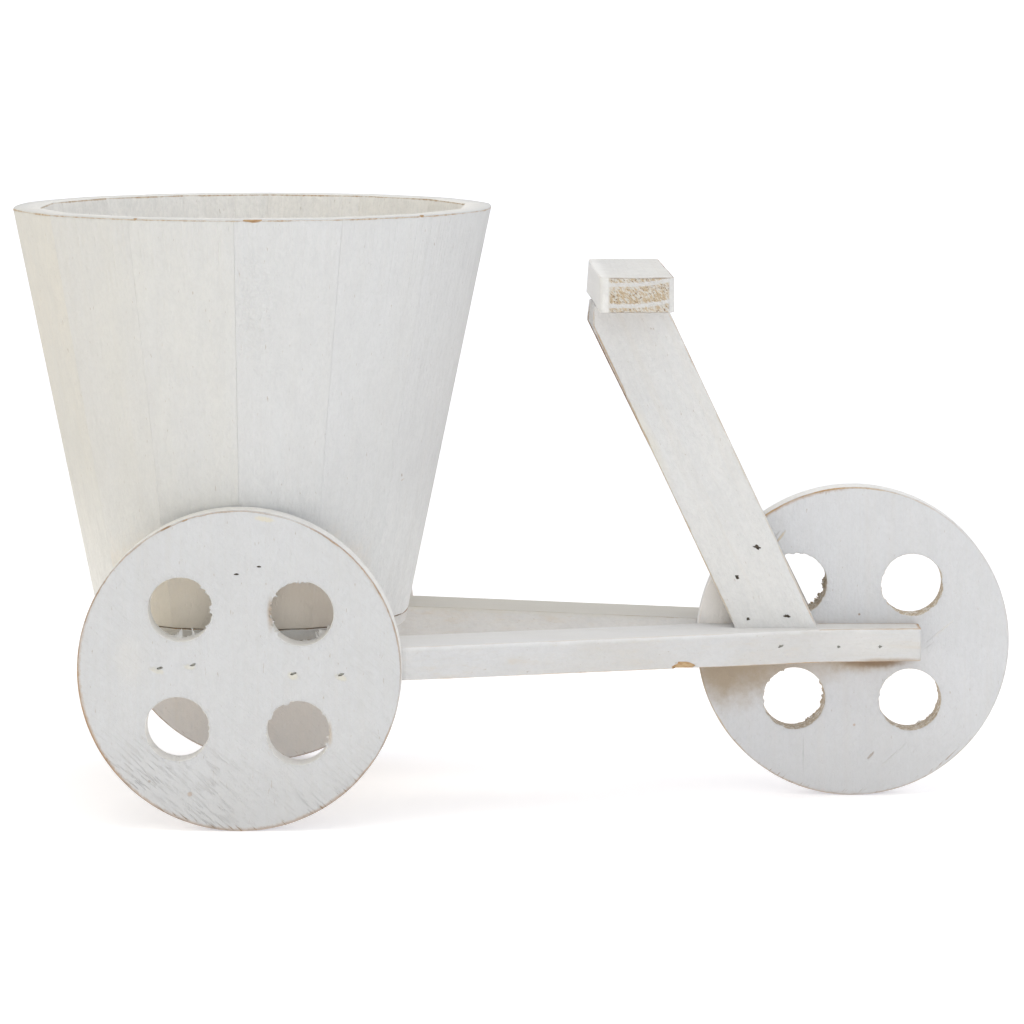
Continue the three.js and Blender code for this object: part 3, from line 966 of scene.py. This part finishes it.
NEAR_MARKS = (
    (-66.0, -26.5, 1.4, 1.5, 0.0, RUST, 0.7, -0.6),
    (-59.0, -48.0, 0.8, 0.8, 0.0, BROWN, 0.5, -0.4),
    (81.3, 14.0, 1.5, 6.0, -9.0, STRAW, 0.6, 0.0),
    (0.6, -43.6, 1.8, 4.2, -15.0, FILLER, 0.7, 0.8),
    (2.4, -26.2, 1.5, 3.4, -10.0, FILLER, 0.7, 0.8),
    (-2.4, 28.6, 2.1, 3.2, -20.0, FILLER, 0.8, 0.8),
    (-3.2, 54.0, 1.9, 3.4, -20.0, FILLER, 0.8, 0.8),
    (76.5, -38.0, 0.5, 3.2, 28.0, BROWN, 0.8, -0.5),
    (80.6, -28.0, 0.45, 1.8, 20.0, RUST, 0.8, -0.5),
)
# the grey scratch lines are painted shade in the scratches' grooves; the white ones are the
# scratches' own colour
FRONT_MARKS = (
    (-63.8, 10.2, 3.0, 0.7, -42.0, BROWN, 0.7, -1.0),
    (15.3, 3.3, 0.7, 0.7, 0.0, BROWN, 0.7, -0.5),
    (-46.5, 1.0, 0.8, 0.8, 0.0, RUST, 0.6, 0.0),
    (55.0, -43.6, 1.5, 0.8, 20.0, BROWN, 1.0, -1.0),
    (58.0, -40.5, 5.4, 0.7, -38.0, TAN, 0.9, 1.0),
    (58.5, -43.2, 4.4, 0.6, -38.0, SCRATCH_SHADE, 0.4, -0.7),
    (5.2, 47.0, 9.0, 0.5, -50.0, SCRATCH_SHADE, 0.22, -0.6),
    (7.0, 49.5, 8.0, 0.6, -50.0, WHITE, 0.7, 0.8),
    (-2.0, 42.0, 4.0, 0.4, -52.0, SCRATCH_SHADE, 0.2, -0.5),
    (-62.0, 24.0, 11.0, 0.45, -47.0, SCRATCH_SHADE, 0.15, -0.6),
    (-66.0, 20.0, 7.0, 0.45, -47.0, WHITE, 0.4, 0.6),
    (-62.0, -27.0, 12.0, 0.4, 0.0, SCRATCH_SHADE, 0.3, -0.5),
)


def near_disc_paint():
    face = core("wheel_rear_right") + HALF_BOARD
    return whitewash(
        "near_disc", DISC, DISC_WARM, streak=0.3, thin=0.08, wear=0.9, saw=0.95,
        painted_light_sides=True, fringe=0.75, frayed_white=1.0,
        spots=on_face("wheel_rear_right", 5.0, NEAR_MARKS),
        stains_and_painted_light=[
            ((-19.0, 63.5, face), (5.5, 3.8, 5.0), GREY, 0.16),
            ((6.0, -58.0, face), (16.0, 9.0, 9.0), CREAM, 0.25),
            # below the torn fibres of three holes
            ((32.0, 16.9, face - 4.0), (12.0, 2.3, 9.0), shade(0.42, 0.30, 0.19), 0.8),
            ((-33.0, 16.6, face - 4.0), (10.0, 1.9, 9.0), shade(0.50, 0.38, 0.26), 0.6),
            ((-33.0, 48.0, face - 4.0), (9.0, 1.7, 9.0), shade(0.58, 0.46, 0.33), 0.6),
        ],
    )


def front_disc_paint():
    face = core("wheel_front") + HALF_BOARD
    return whitewash(
        "front_disc", FRONT_DISC, FRONT_DISC, streak=0.3, thin=0.08, wear=0.9, saw=0.22,
        saw_turn=-46.0, painted_light_sides=True, fringe=0.55, frayed_white=0.45,
        line_tints=(RUST, GOLD),
        spots=on_face("wheel_front", 4.0, FRONT_MARKS),
        stains_and_painted_light=[
            # thin paint under the rail, darkened by painted shade of the rail, and a painted
            # shadow just under its tip; then painted light by the post, over the post's shadow
            ((-10.0, -70.0, face), (30.0, 40.0, 9.0), shade(0.43, 0.34, 0.24), 0.92),
            ((-8.0, -34.0, face), (20.0, 36.0, 9.0), shade(0.50, 0.41, 0.31), 0.6),
            ((-10.0, 3.0, face), (8.0, 28.0, 9.0), shade(0.50, 0.40, 0.29), 0.8),
            ((-11.0, 12.0, face), (4.0, 22.0, 9.0), shade(0.30, 0.20, 0.12), 0.85),
            ((26.0, -76.0, face), (36.0, 21.0, 9.0), shade(1.0, 0.945, 0.88), 1.0),
        ],
    )


def add_wheels():
    # painted shade: the far wheel's paint is warmer than the near wheel's, for the warm shade
    # it lies in behind it
    far = whitewash(
        "far_disc", FAR_DISC_WARM_SHADE, FAR_DISC_WARM_SHADE, streak=0.35, thin=0.2, wear=0.9, saw=0.4,
        frayed_white=0.8,
    )
    small = [(1.45, 0.55, 0.0)] * 2 + [(1.8, 0.7, -0.35)] * 4
    add_wheel(
        "wheel_rear_right", REAR_WHEEL_TURN, near_disc_paint(), NEAR_TEARS, NEAR_WEAR,
        brads_of("wheel", "right", 6), RIGHT, small,
    )
    add_wheel(
        "wheel_rear_left", REAR_WHEEL_TURN, far, ragged_all_round(1.0, 1.5), EVEN_WEAR,
        brads_of("wheel", "left", 6), LEFT,
    )
    add_wheel(
        "wheel_front", FRONT_WHEEL_TURN, front_disc_paint(), FRONT_TEARS, FRONT_WEAR
    )


# ---- rails ----


def wheel_x(name):
    """Where a wheel's centre is along the planter, and its radius."""
    low, high = box_mm(name)
    return (low[0] + high[0]) / 2, (high[2] - low[2]) / 2


def rail_face(side, x):
    """Distance of the rail's outer face from the middle of the planter."""
    low, high = box_mm(f"rail_{side}")
    inner, outer = sorted((abs(low[1]), abs(high[1])))
    start = wheel_x("wheel_rear_right")[0] + OUTER_BEND
    end = wheel_x("wheel_front")[0] - TIP_BEND
    points = ([start, end, high[0]], [outer, inner + RAIL_BEND_WIDTH, inner + RAIL_TIP_WIDTH])
    return np.interp(x, *points)


def add_rail(side, sign, material, wear, cutters=(), sizes=()):
    """wear gives how worn the edges are along the rail."""
    name = f"rail_{side}"
    seed = SEEDS[name]
    low, high = box_mm(name)
    inner, outer = sorted((abs(low[1]), abs(high[1])))
    rear_x = wheel_x("wheel_rear_right")[0]
    front_x, wheel_radius = wheel_x("wheel_front")
    plan = [
        (low[0], outer - RAIL_REAR_WIDTH),
        (rear_x + INNER_BEND, outer - RAIL_REAR_WIDTH),
        (front_x - wheel_radius, inner),
        (high[0], inner),
        (high[0], inner + RAIL_TIP_WIDTH),
        (front_x - TIP_BEND, inner + RAIL_BEND_WIDTH),
        (rear_x + OUTER_BEND, outer),
        (low[0], outer),
    ]
    outline = board_outline([(x, sign * y) for x, y in plan])
    post_foot = box_mm(f"post_{side}")[1][0]

    def under_post(x):
        return (x > post_foot - POST_LEVEL_WIDTH - 1) & (x < post_foot + 1)

    def rounding(loop, number):
        """The edge that the post is flush with is left sharp."""
        return np.where(under_post(loop[:, 0]), 0.08, even_rounding(0.6, 0.8)(loop, number))

    slab = Slab([outline], high[2] - low[2], rounding, seed, rows=8)
    p = slab.points
    covered = under_post(p[:, 0]) & (p[:, 2] > 0)
    grain = p + [0, 0, core(name)]
    cutters = [
        *pockets(brads_of("rail", side, 3), (0, sign, 0), (1.5, 1.0), seed, 0.2, 0.35, sizes),
        *cutters,
    ]
    middle = (0, 0, (low[2] + high[2]) / 2)
    add_wood(
        name, slab, level(middle), grain, material, cutters,
        worn=np.where(covered, 0.0, np.interp(p[:, 0], *zip(*wear))),
    )


def add_rails():
    near_core, far_core = core("rail_right"), core("rail_left")
    top = HALF_BOARD + 0.5  # just above their upper faces
    near = whitewash(
        "near_rail", RAIL, RAIL_WARM, streak=0.7, thin=0.34, wear=1.3, fringe=0.9,
        line_tints=(RUST, GOLD),
        stains_and_painted_light=[
            ((205.0, -26.0, near_core - 8.6), (24.0, 9.0, 2.2), RAIL_KNOT, 0.9),
            ((195.0, -29.0, near_core + 1.0), (40.0, 12.0, 12.0), CREAM, 0.3),
            # painted light: the rail's rear, seen through the near wheel's holes, is painted
            # paler than its shade
            ((-150.0, -113.0, near_core), (100.0, 60.0, 60.0), BRIGHT, 1.0),
            # painted light: the rail's upper face is painted paler than its sides
            ((40.0, -70.0, near_core + top), (300.0, 90.0, 3.0), RAIL_TOP_PAINTED_LIGHT, 0.6),
        ],
    )
    far = whitewash(
        "far_rail", FAR_RAIL, FAR_RAIL_WARM, streak=0.8, thin=0.4, wear=0.9,
        stains_and_painted_light=[((40.0, 70.0, far_core + top), (300.0, 90.0, 3.0), FAR_RAIL_TOP, 0.75)],
    )
    rng = np.random.default_rng(RAIL_CHIP_SEED)
    low = box_mm("rail_right")[0]
    place = (RAIL_CHIP_X, -rail_face("right", RAIL_CHIP_X) + 1.0, low[2] + 1.2)
    chip = prism(
        place, RIGHT, (1, 0, 0), RAIL_CHIP_SIZE, 1.6, rng, CHIP, sides=18, rise=4.0
    )
    wear = ((-60, 0.5), (60, 0.6), (130, 0.5), (150, 0.9), (200, 1.0))
    sizes = [(1.6, 0.75, -0.25), (0.9, 0.7, 0.0), (1.2, 0.8, 0.1)]
    add_rail("right", -1, near, wear, [chip], sizes)
    add_rail("left", 1, far, ((-60, 0.7), (200, 0.7)))


# ---- posts and handlebar ----


def add_post(side, sign, material, sizes=()):
    name = f"post_{side}"
    seed = SEEDS[name]
    low, high = box_mm(name)
    lean = POST_LEANS[side]
    foot = high[0]
    rise = high[2] - low[2]
    back = foot - POST_LEVEL_WIDTH
    outline = board_outline(
        [
            (back, low[2] - POST_DROP),
            (foot, low[2] - POST_DROP),
            (foot - rise * lean, high[2]),
            (low[0] + POST_CUT_SLANTS[side], high[2]),
            (low[0], low[2] + (back - low[0]) / lean),
        ],
        corner_radius=0.6,
    )

    def rounding(loop, number):
        """The foot keeps its sharp edges."""
        at_foot = loop[:, 1] < low[2] + 0.8
        return np.where(at_foot, 0.08, even_rounding(0.4, 0.6)(loop, number))

    slab = Slab([outline], high[1] - low[1], rounding, seed, rows=8)
    p = slab.points
    tilt = math.atan(lean)
    along = p[:, 1] * math.cos(tilt) - p[:, 0] * math.sin(tilt)
    across = p[:, 0] * math.cos(tilt) + p[:, 1] * math.sin(tilt)
    grain = np.stack([along, across, p[:, 2] + core(name)], 1)
    cutters = pockets(
        brads_of("post", side, 4), (0, sign, 0), (1.7, 1.2), seed, 0.3, 0.4, sizes
    )
    worn = np.clip((p[:, 1] - low[2] - 1) / 5, 0, 1)
    worn *= np.clip((high[2] - p[:, 1] - 1) / 5, 0, 1)
    ahead = across - across.mean() > 0
    middle = (0, (low[1] + high[1]) / 2, 0)
    add_wood(
        name, slab, upright(middle), grain, material, cutters,
        worn=worn * np.where(ahead, 0.55, 0.95),
    )


def add_posts():
    middle = core("post_right")
    near = whitewash(
        "near_post", COOL, WARM, streak=0.35, thin=0.14, line_tints=(RUST, TAN),
        stains_and_painted_light=[
            ((112.0, 142.5, middle), (75.0, 8.0, 20.0), STRAW, 0.5),
            ((150.0, 152.0, middle), (40.0, 5.0, 20.0), STRAW, 0.3),
        ],
    )
    far = whitewash("far_post", COOL, WARM, thin=0.2, wear=0.9)
    sizes = [(2.1, 1.1, 0.3), (1.4, 1.1, 0.5), (1.2, 1.0, 0.5), (2.0, 0.9, 0.2)]
    add_post("right", -1, near, sizes)
    add_post("left", 1, far)


def add_handlebar():
    """Its brads lie under filler and paint."""
    low, high = box_mm("handlebar")
    x, y = BAR_WIDTH / 2, BAR_LENGTH / 2
    corners = np.array([(-x, -y), (x, -y), (x, y), (-x, y)], float)
    outline = resample(fillet(corners, BAR_END_ROUND, 7), 1.4)
    seed, middle = SEEDS["handlebar"], core("handlebar")
    slab = Slab([outline], high[2] - low[2], even_rounding(0.5, 0.6), seed, rows=9)
    p = slab.points
    grain = np.stack([p[:, 1], p[:, 0], p[:, 2] + middle], 1)
    at_end = np.abs(p[:, 1]) > y - 0.6
    bare = np.clip((x - 3.7 - np.abs(p[:, 0] - 0.8)) / 0.8, 0, 1)
    deep = np.clip((slab.half - 0.1 - np.abs(p[:, 2])) / 0.4, 0, 1)
    raw = np.where(at_end, bare * deep, 0.0)
    # a slight twist at the far end: the back leans in at the top
    behind = np.clip(-p[:, 0] / x, 0, 1) * np.clip((p[:, 1] - 10) / 60, 0, 1)
    p[:, 0] += BAR_TWIST * behind * p[:, 2] / slab.half / 2
    end_mark = ((-y + 0.5, x - 8.0, middle + slab.half), (1.2, 5.5, 0.9), 0.0, BROWN, 0.8, 0.0)
    # painted light: the bar's back side is painted paler, as if lit from the left
    painted_light_back = ((0.0, -x - 2.0, middle), (160.0, 9.0, 50.0), BRIGHT, 0.9)
    material = whitewash(
        "bar", BAR, WARM, thin=0.10, wear=0.9, end_grain=True, spots=[end_mark],
        stains_and_painted_light=[painted_light_back],
    )
    place = level((low + high) / 2, BAR_YAW)
    add_wood(
        "handlebar", slab, place, grain, material, worn=0.6, raw=raw
    )


# ---- bucket ----


def on_plan(degrees, radius):
    a = np.radians(degrees)
    return np.stack([radius * np.sin(a), -radius * np.cos(a)], 1)


def stave_to_world(start, width, foot, height, centre_x, seat):
    """Bends a flat stave into its place in the ring. seat is (x, radius, face) of the
    rear wheels, where the staves are shaved flat."""
    first, last = start + STAVE_JOINT, start + width - STAVE_JOINT
    half_width = RIM_RADIUS * math.radians(width) / 2
    inner = RIM_RADIUS - STAVE_THICKNESS / math.cos(math.radians(width / 2))

    def to_world(p):
        s = p[:, 0] / half_width
        z = p[:, 1] + height / 2
        drop = (height - z) * FLARE
        angle = first + (last - first) * (s + 1) / 2
        outer = on_plan(angle, RIM_RADIUS - STAVE_HOLLOW * (1 - s * s) - drop)
        side_a = on_plan(np.full(len(p), first), inner - drop)
        side_b = on_plan(np.full(len(p), last), inner - drop)
        share = ((s + 1) / 2)[:, None]
        back = side_a * (1 - share) + side_b * share
        depth = (0.5 - p[:, 2] / STAVE_THICKNESS)[:, None]
        plan = outer * (1 - depth) + back * depth
        x = centre_x + plan[:, 0] + z * LEAN
        y = plan[:, 1]
        wheel, radius, face = seat
        seated = (np.abs(x - wheel) < radius) & (foot + z < 2 * radius)
        y = np.where(seated, np.clip(y, -face, face), y)
        return np.stack([x, y, foot + z], 1)

    return to_world


def stave_rounding(loop, seed):
    """Worn ends, the same on both sides of a joint."""
    return 0.7 + 0.5 * np.maximum(0, wander(loop, 10, seed + 3) - 0.25)


def stave_paints(height):
    """The staves' four tones. Each mark, rough patch and patch of painted light and shade
    lies on one stave or two.
    """
    rim, foot = height / 2, 8.0 - height / 2

    def grain_at(stave, along, across):
        return along, STAVE_GRAIN_STEP * stave + across, GRAIN_STEP * stave

    rough = (grain_at(2, rim - 44.0, -18.0), (34.0, 17.0, 25.0))
    marks = [
        (grain_at(4, rim - 142.0, -16.5), (1.5, 0.9, 9.0), 30.0, BROWN, 0.9, -0.8),
        (grain_at(4, rim - 144.5, -14.5), (0.7, 2.6, 9.0), 15.0, RUST, 0.6, -0.4),
        (grain_at(4, rim - 16.0, -23.0), (1.4, 0.5, 9.0), 10.0, BROWN, 0.7, -0.4),
    ]
    # painted light and shade low on the front staves, where they show through the near wheel's
    # holes: warm and pale on the left, shadier on the right
    painted_light_feet = [
        (grain_at(0, foot, 10.0), (44.0, 80.0, 40.0), WARM_FOOT_PAINTED_LIGHT, 0.75),
        (grain_at(1, foot, -10.0), (44.0, 60.0, 40.0), WARM_FOOT_PAINTED_LIGHT, 0.85),
    ]
    shady_feet = [
        (grain_at(2, foot, 0.0), (46.0, 110.0, 60.0), SHADY_FOOT, 0.9),
        (grain_at(3, foot, -20.0), (46.0, 50.0, 40.0), SHADY_FOOT, 0.9),
    ]
    return [
        whitewash(
            f"stave_tone_{i + 1}", tone, STAVE_TONES[min(i + 1, 3)], streak=0.22, thin=0.04,
            wear=1.1, stave=True, rough_at=rough if i == 2 else None,
            line_tints=(TAN, RUST), spots=marks if i == 3 else (),
            stains_and_painted_light=painted_light_feet if i < 2 else shady_feet,
        )
        for i, tone in enumerate(STAVE_TONES)
    ]


def rim_chip_cutters(centre_x, height, rim):
    """Ragged plugs for the chips in the rim's outer edge, by stave."""
    rng = np.random.default_rng(RIM_CHIP_SEED)
    reach = RIM_RADIUS - 1
    cutters = {}
    for stave, angle, size in RIM_CHIPS:
        c, s = math.cos(math.radians(angle)), math.sin(math.radians(angle))
        place = (centre_x + LEAN * height + reach * s, -reach * c, rim - 0.2)
        cutters[stave] = [
            prism(place, (s, -c, 0), (c, s, 0), size, 1.0, rng, CHIP, sides=16, rise=3.0)
        ]
    return cutters


def add_bucket():
    floor_low, floor_high = box_mm("bucket_floor")
    centre_x = (floor_low[0] + floor_high[0]) / 2
    foot, rim = (corner[2] for corner in box_mm("stave_01"))
    height = rim - foot
    seat = (*wheel_x("wheel_rear_right"), box_mm("wheel_rear_left")[0][1] - WHEEL_GAP)
    paints = stave_paints(height)
    chips = rim_chip_cutters(centre_x, height, rim)
    start = STAVE_START
    for i, width in enumerate(STAVE_WIDTHS):
        x, y = RIM_RADIUS * math.radians(width) / 2, height / 2
        outline = resample(np.array([(-x, -y), (x, -y), (x, y), (-x, y)]), 1.9)
        slab = Slab(
            [outline], STAVE_THICKNESS, stave_rounding, SEEDS["stave"] + i, spacing=3.2,
            squash=0.05,
        )
        p = slab.points
        grain = np.stack([p[:, 1], p[:, 0], p[:, 2]], 1)
        grain += [0, STAVE_GRAIN_STEP * i, GRAIN_STEP * i]
        # only the rim is worn, and only its edges have a line
        slab.edge = y - p[:, 1] - (slab.half - np.abs(p[:, 2])) - 0.7
        add_wood(
            f"stave_{i + 1:02d}", slab,
            stave_to_world(start, width, foot, height, centre_x, seat), grain,
            paints[STAVE_PAINT[i]], chips.get(i, ()),
            worn=0.9 * np.clip((p[:, 1] - y + 6) / 3, 0, 1),
            # raw below 0 marks the inner face, which gets painted light
            raw=-np.clip(0.5 - p[:, 2] / STAVE_THICKNESS, 0, 1),
        )
        start += width
    add_floor(centre_x, floor_low, floor_high)


def add_floor(centre_x, low, high):
    top = high[2] - FLOOR_RISE
    radius = (high[0] - low[0]) / 2
    seed = SEEDS["bucket_floor"]
    outline = circle((0, 0), radius, 1.8)
    slab = Slab([outline], top - low[2], even_rounding(0.5, 0.5), seed, rows=4)
    middle_z = (low[2] + top) / 2

    def to_world(p):
        away = np.linalg.norm(p[:, :2], axis=1)
        squeeze = 1 - (slab.half - p[:, 2]) * FLARE / radius
        flat = (p[:, 2] > slab.half - 0.1) & (away < FLOOR_FLAT)
        z = middle_z + p[:, 2] + FLOOR_RISE * flat
        return np.stack([centre_x + p[:, 0] * squeeze, p[:, 1] * squeeze, z], 1)

    names = [f"floor_brad_{i}" for i in range(1, 5)]
    cutters = pockets(names, (0, 0, -1), (1.6, 1.2), seed)
    material = whitewash("floor_tone", WARM, CREAM, streak=0.8)
    grain = slab.points + [0, 0, core("bucket_floor")]
    add_wood(
        "bucket_floor", slab, to_world, grain, material, cutters
    )


# ---- brads ----


def dress_brads():
    """The CAD brads keep their shape and get a finish."""
    dark = brad_metal("brad_dark", 0.1)
    painted = brad_metal("brad_painted", 1.0)
    smeared = [f"wheel_{side}_brad_{i}" for side in ("right", "left") for i in range(3, 7)]
    for name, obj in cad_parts.items():
        if "brad" not in name:
            continue
        material = painted if name in smeared or name.startswith("rail") else dark
        obj.data.materials.clear()
        obj.data.materials.append(material)


# ---- stage ----


FLOOR_NEAR, FLOOR_FAR, FLOOR_SIDE = -9.0, 6.0, 12.0
CURVE_RADIUS = 3.0  # where the floor turns up into the backdrop
BACKDROP_TOP = 9.0
FLOOR_TONES = (shade(0.96, 0.93, 0.89), shade(0.97, 0.94, 0.90))
FLOOR_GLOW = (0.9, 0.91, 1.0, 1.0)
GLOW_RANGE = (0.5, 3.0, 0.32, 0.5)  # near and far distance, then the strength at each
SKY_COLOR = (0.897, 0.943, 1.0, 1.0)
SKY_STRENGTH = 0.66
LIGHT_AIM = (0.0, 0.0, 0.15)
LIGHTS = {  # place, size, power and colour
    "top": ((0.1, -0.5, 1.9), (1.8, 1.8), 13.4, (1.0, 0.96, 0.89)),
    "front": ((0.6, -2.35, 0.95), (1.4, 0.8), 8.1, (0.83, 0.925, 1.0)),
    "side": ((-1.9, -0.5, 0.7), (1.2, 1.2), 3.6, (1.0, 0.74, 0.05)),
}
CAMERA_PLACE = (0.01714, -2.53607, 0.47118)
CAMERA_LENS = 162.67
CAMERA_DROP = 0.1233168  # radians below level
CAMERA_TURN = 0.0071117


def add_stage():
    """A white floor that curves up into a backdrop."""
    profile = [(FLOOR_NEAR, 0.0), (FLOOR_FAR, 0.0)]
    profile += [
        (FLOOR_FAR + CURVE_RADIUS * math.sin(a), CURVE_RADIUS - CURVE_RADIUS * math.cos(a))
        for a in np.linspace(0.1, math.pi / 2, 16)
    ]
    profile.append((FLOOR_FAR + CURVE_RADIUS, BACKDROP_TOP))
    sweep = bmesh.new()
    sides = (-FLOOR_SIDE, FLOOR_SIDE)
    rows = [[sweep.verts.new((x, y, z)) for y, z in profile] for x in sides]
    for a, b, c, d in zip(rows[0], rows[0][1:], rows[1][1:], rows[1]):
        sweep.faces.new((d, c, b, a))
    mesh = bpy.data.meshes.new("floor")
    sweep.to_mesh(mesh)
    sweep.free()
    mesh.shade_smooth()
    floor = bpy.data.objects.new("floor", mesh)
    bpy.context.scene.collection.objects.link(floor)
    g = Graph("floor_white")
    where = g.node("ShaderNodeTexCoord").outputs["Object"]
    tone = g.noise(where, (0.7, 0.7, 0.7), 2.0)
    mesh.materials.append(g.finish(g.mix(tone, *FLOOR_TONES), 0.9, g.bump(tone, 0.0001), 0.1))
    # the floor is lit from below, more so towards the backdrop
    shader = next(n for n in g.tree.nodes if n.type == "BSDF_PRINCIPLED")
    shader.inputs["Emission Color"].default_value = FLOOR_GLOW
    distance = g.vector_math("LENGTH", where)
    g.put(shader.inputs["Emission Strength"], g.ramp(distance, *GLOW_RANGE))
    floor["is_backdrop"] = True


def add_light(name, location, size, power, color):
    data = bpy.data.lights.new(name, "AREA")
    data.shape = "RECTANGLE"
    data.size, data.size_y = size
    data.energy = power
    data.color = color
    light = bpy.data.objects.new(name, data)
    light.location = location
    aim = Vector(LIGHT_AIM) - Vector(location)
    light.rotation_euler = aim.to_track_quat("-Z", "Y").to_euler()
    bpy.context.scene.collection.objects.link(light)


def add_lights():
    world = bpy.data.worlds.new("studio")
    bpy.context.scene.world = world
    world.use_nodes = True
    background = world.node_tree.nodes["Background"]
    background.inputs["Color"].default_value = SKY_COLOR
    background.inputs["Strength"].default_value = SKY_STRENGTH
    for name, settings in LIGHTS.items():
        add_light(name, *settings)


def add_camera():
    data = bpy.data.cameras.new("camera")
    data.lens = CAMERA_LENS
    data.sensor_width = 36.0
    data.clip_start, data.clip_end = 0.05, 60.0
    camera = bpy.data.objects.new("camera", data)
    camera.location = CAMERA_PLACE
    camera.rotation_euler = (math.pi / 2 - CAMERA_DROP, 0.0, CAMERA_TURN)
    bpy.context.scene.collection.objects.link(camera)
    bpy.context.scene.camera = camera


def write_sizes():
    """Both boxes, the CAD model's and the looks', gathered as plain lists; nothing writes them
    out.
    """
    boxes = {"cad": CAD_BOX, "visual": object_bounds()}
    plain = {name: [list(low), list(high)] for name, (low, high) in boxes.items()}


add_wheels()
add_rails()
add_posts()
add_handlebar()
add_bucket()
dress_brads()
add_stage()
add_lights()
add_camera()
bpy.context.scene.view_settings.view_transform = "Standard"
write_sizes()
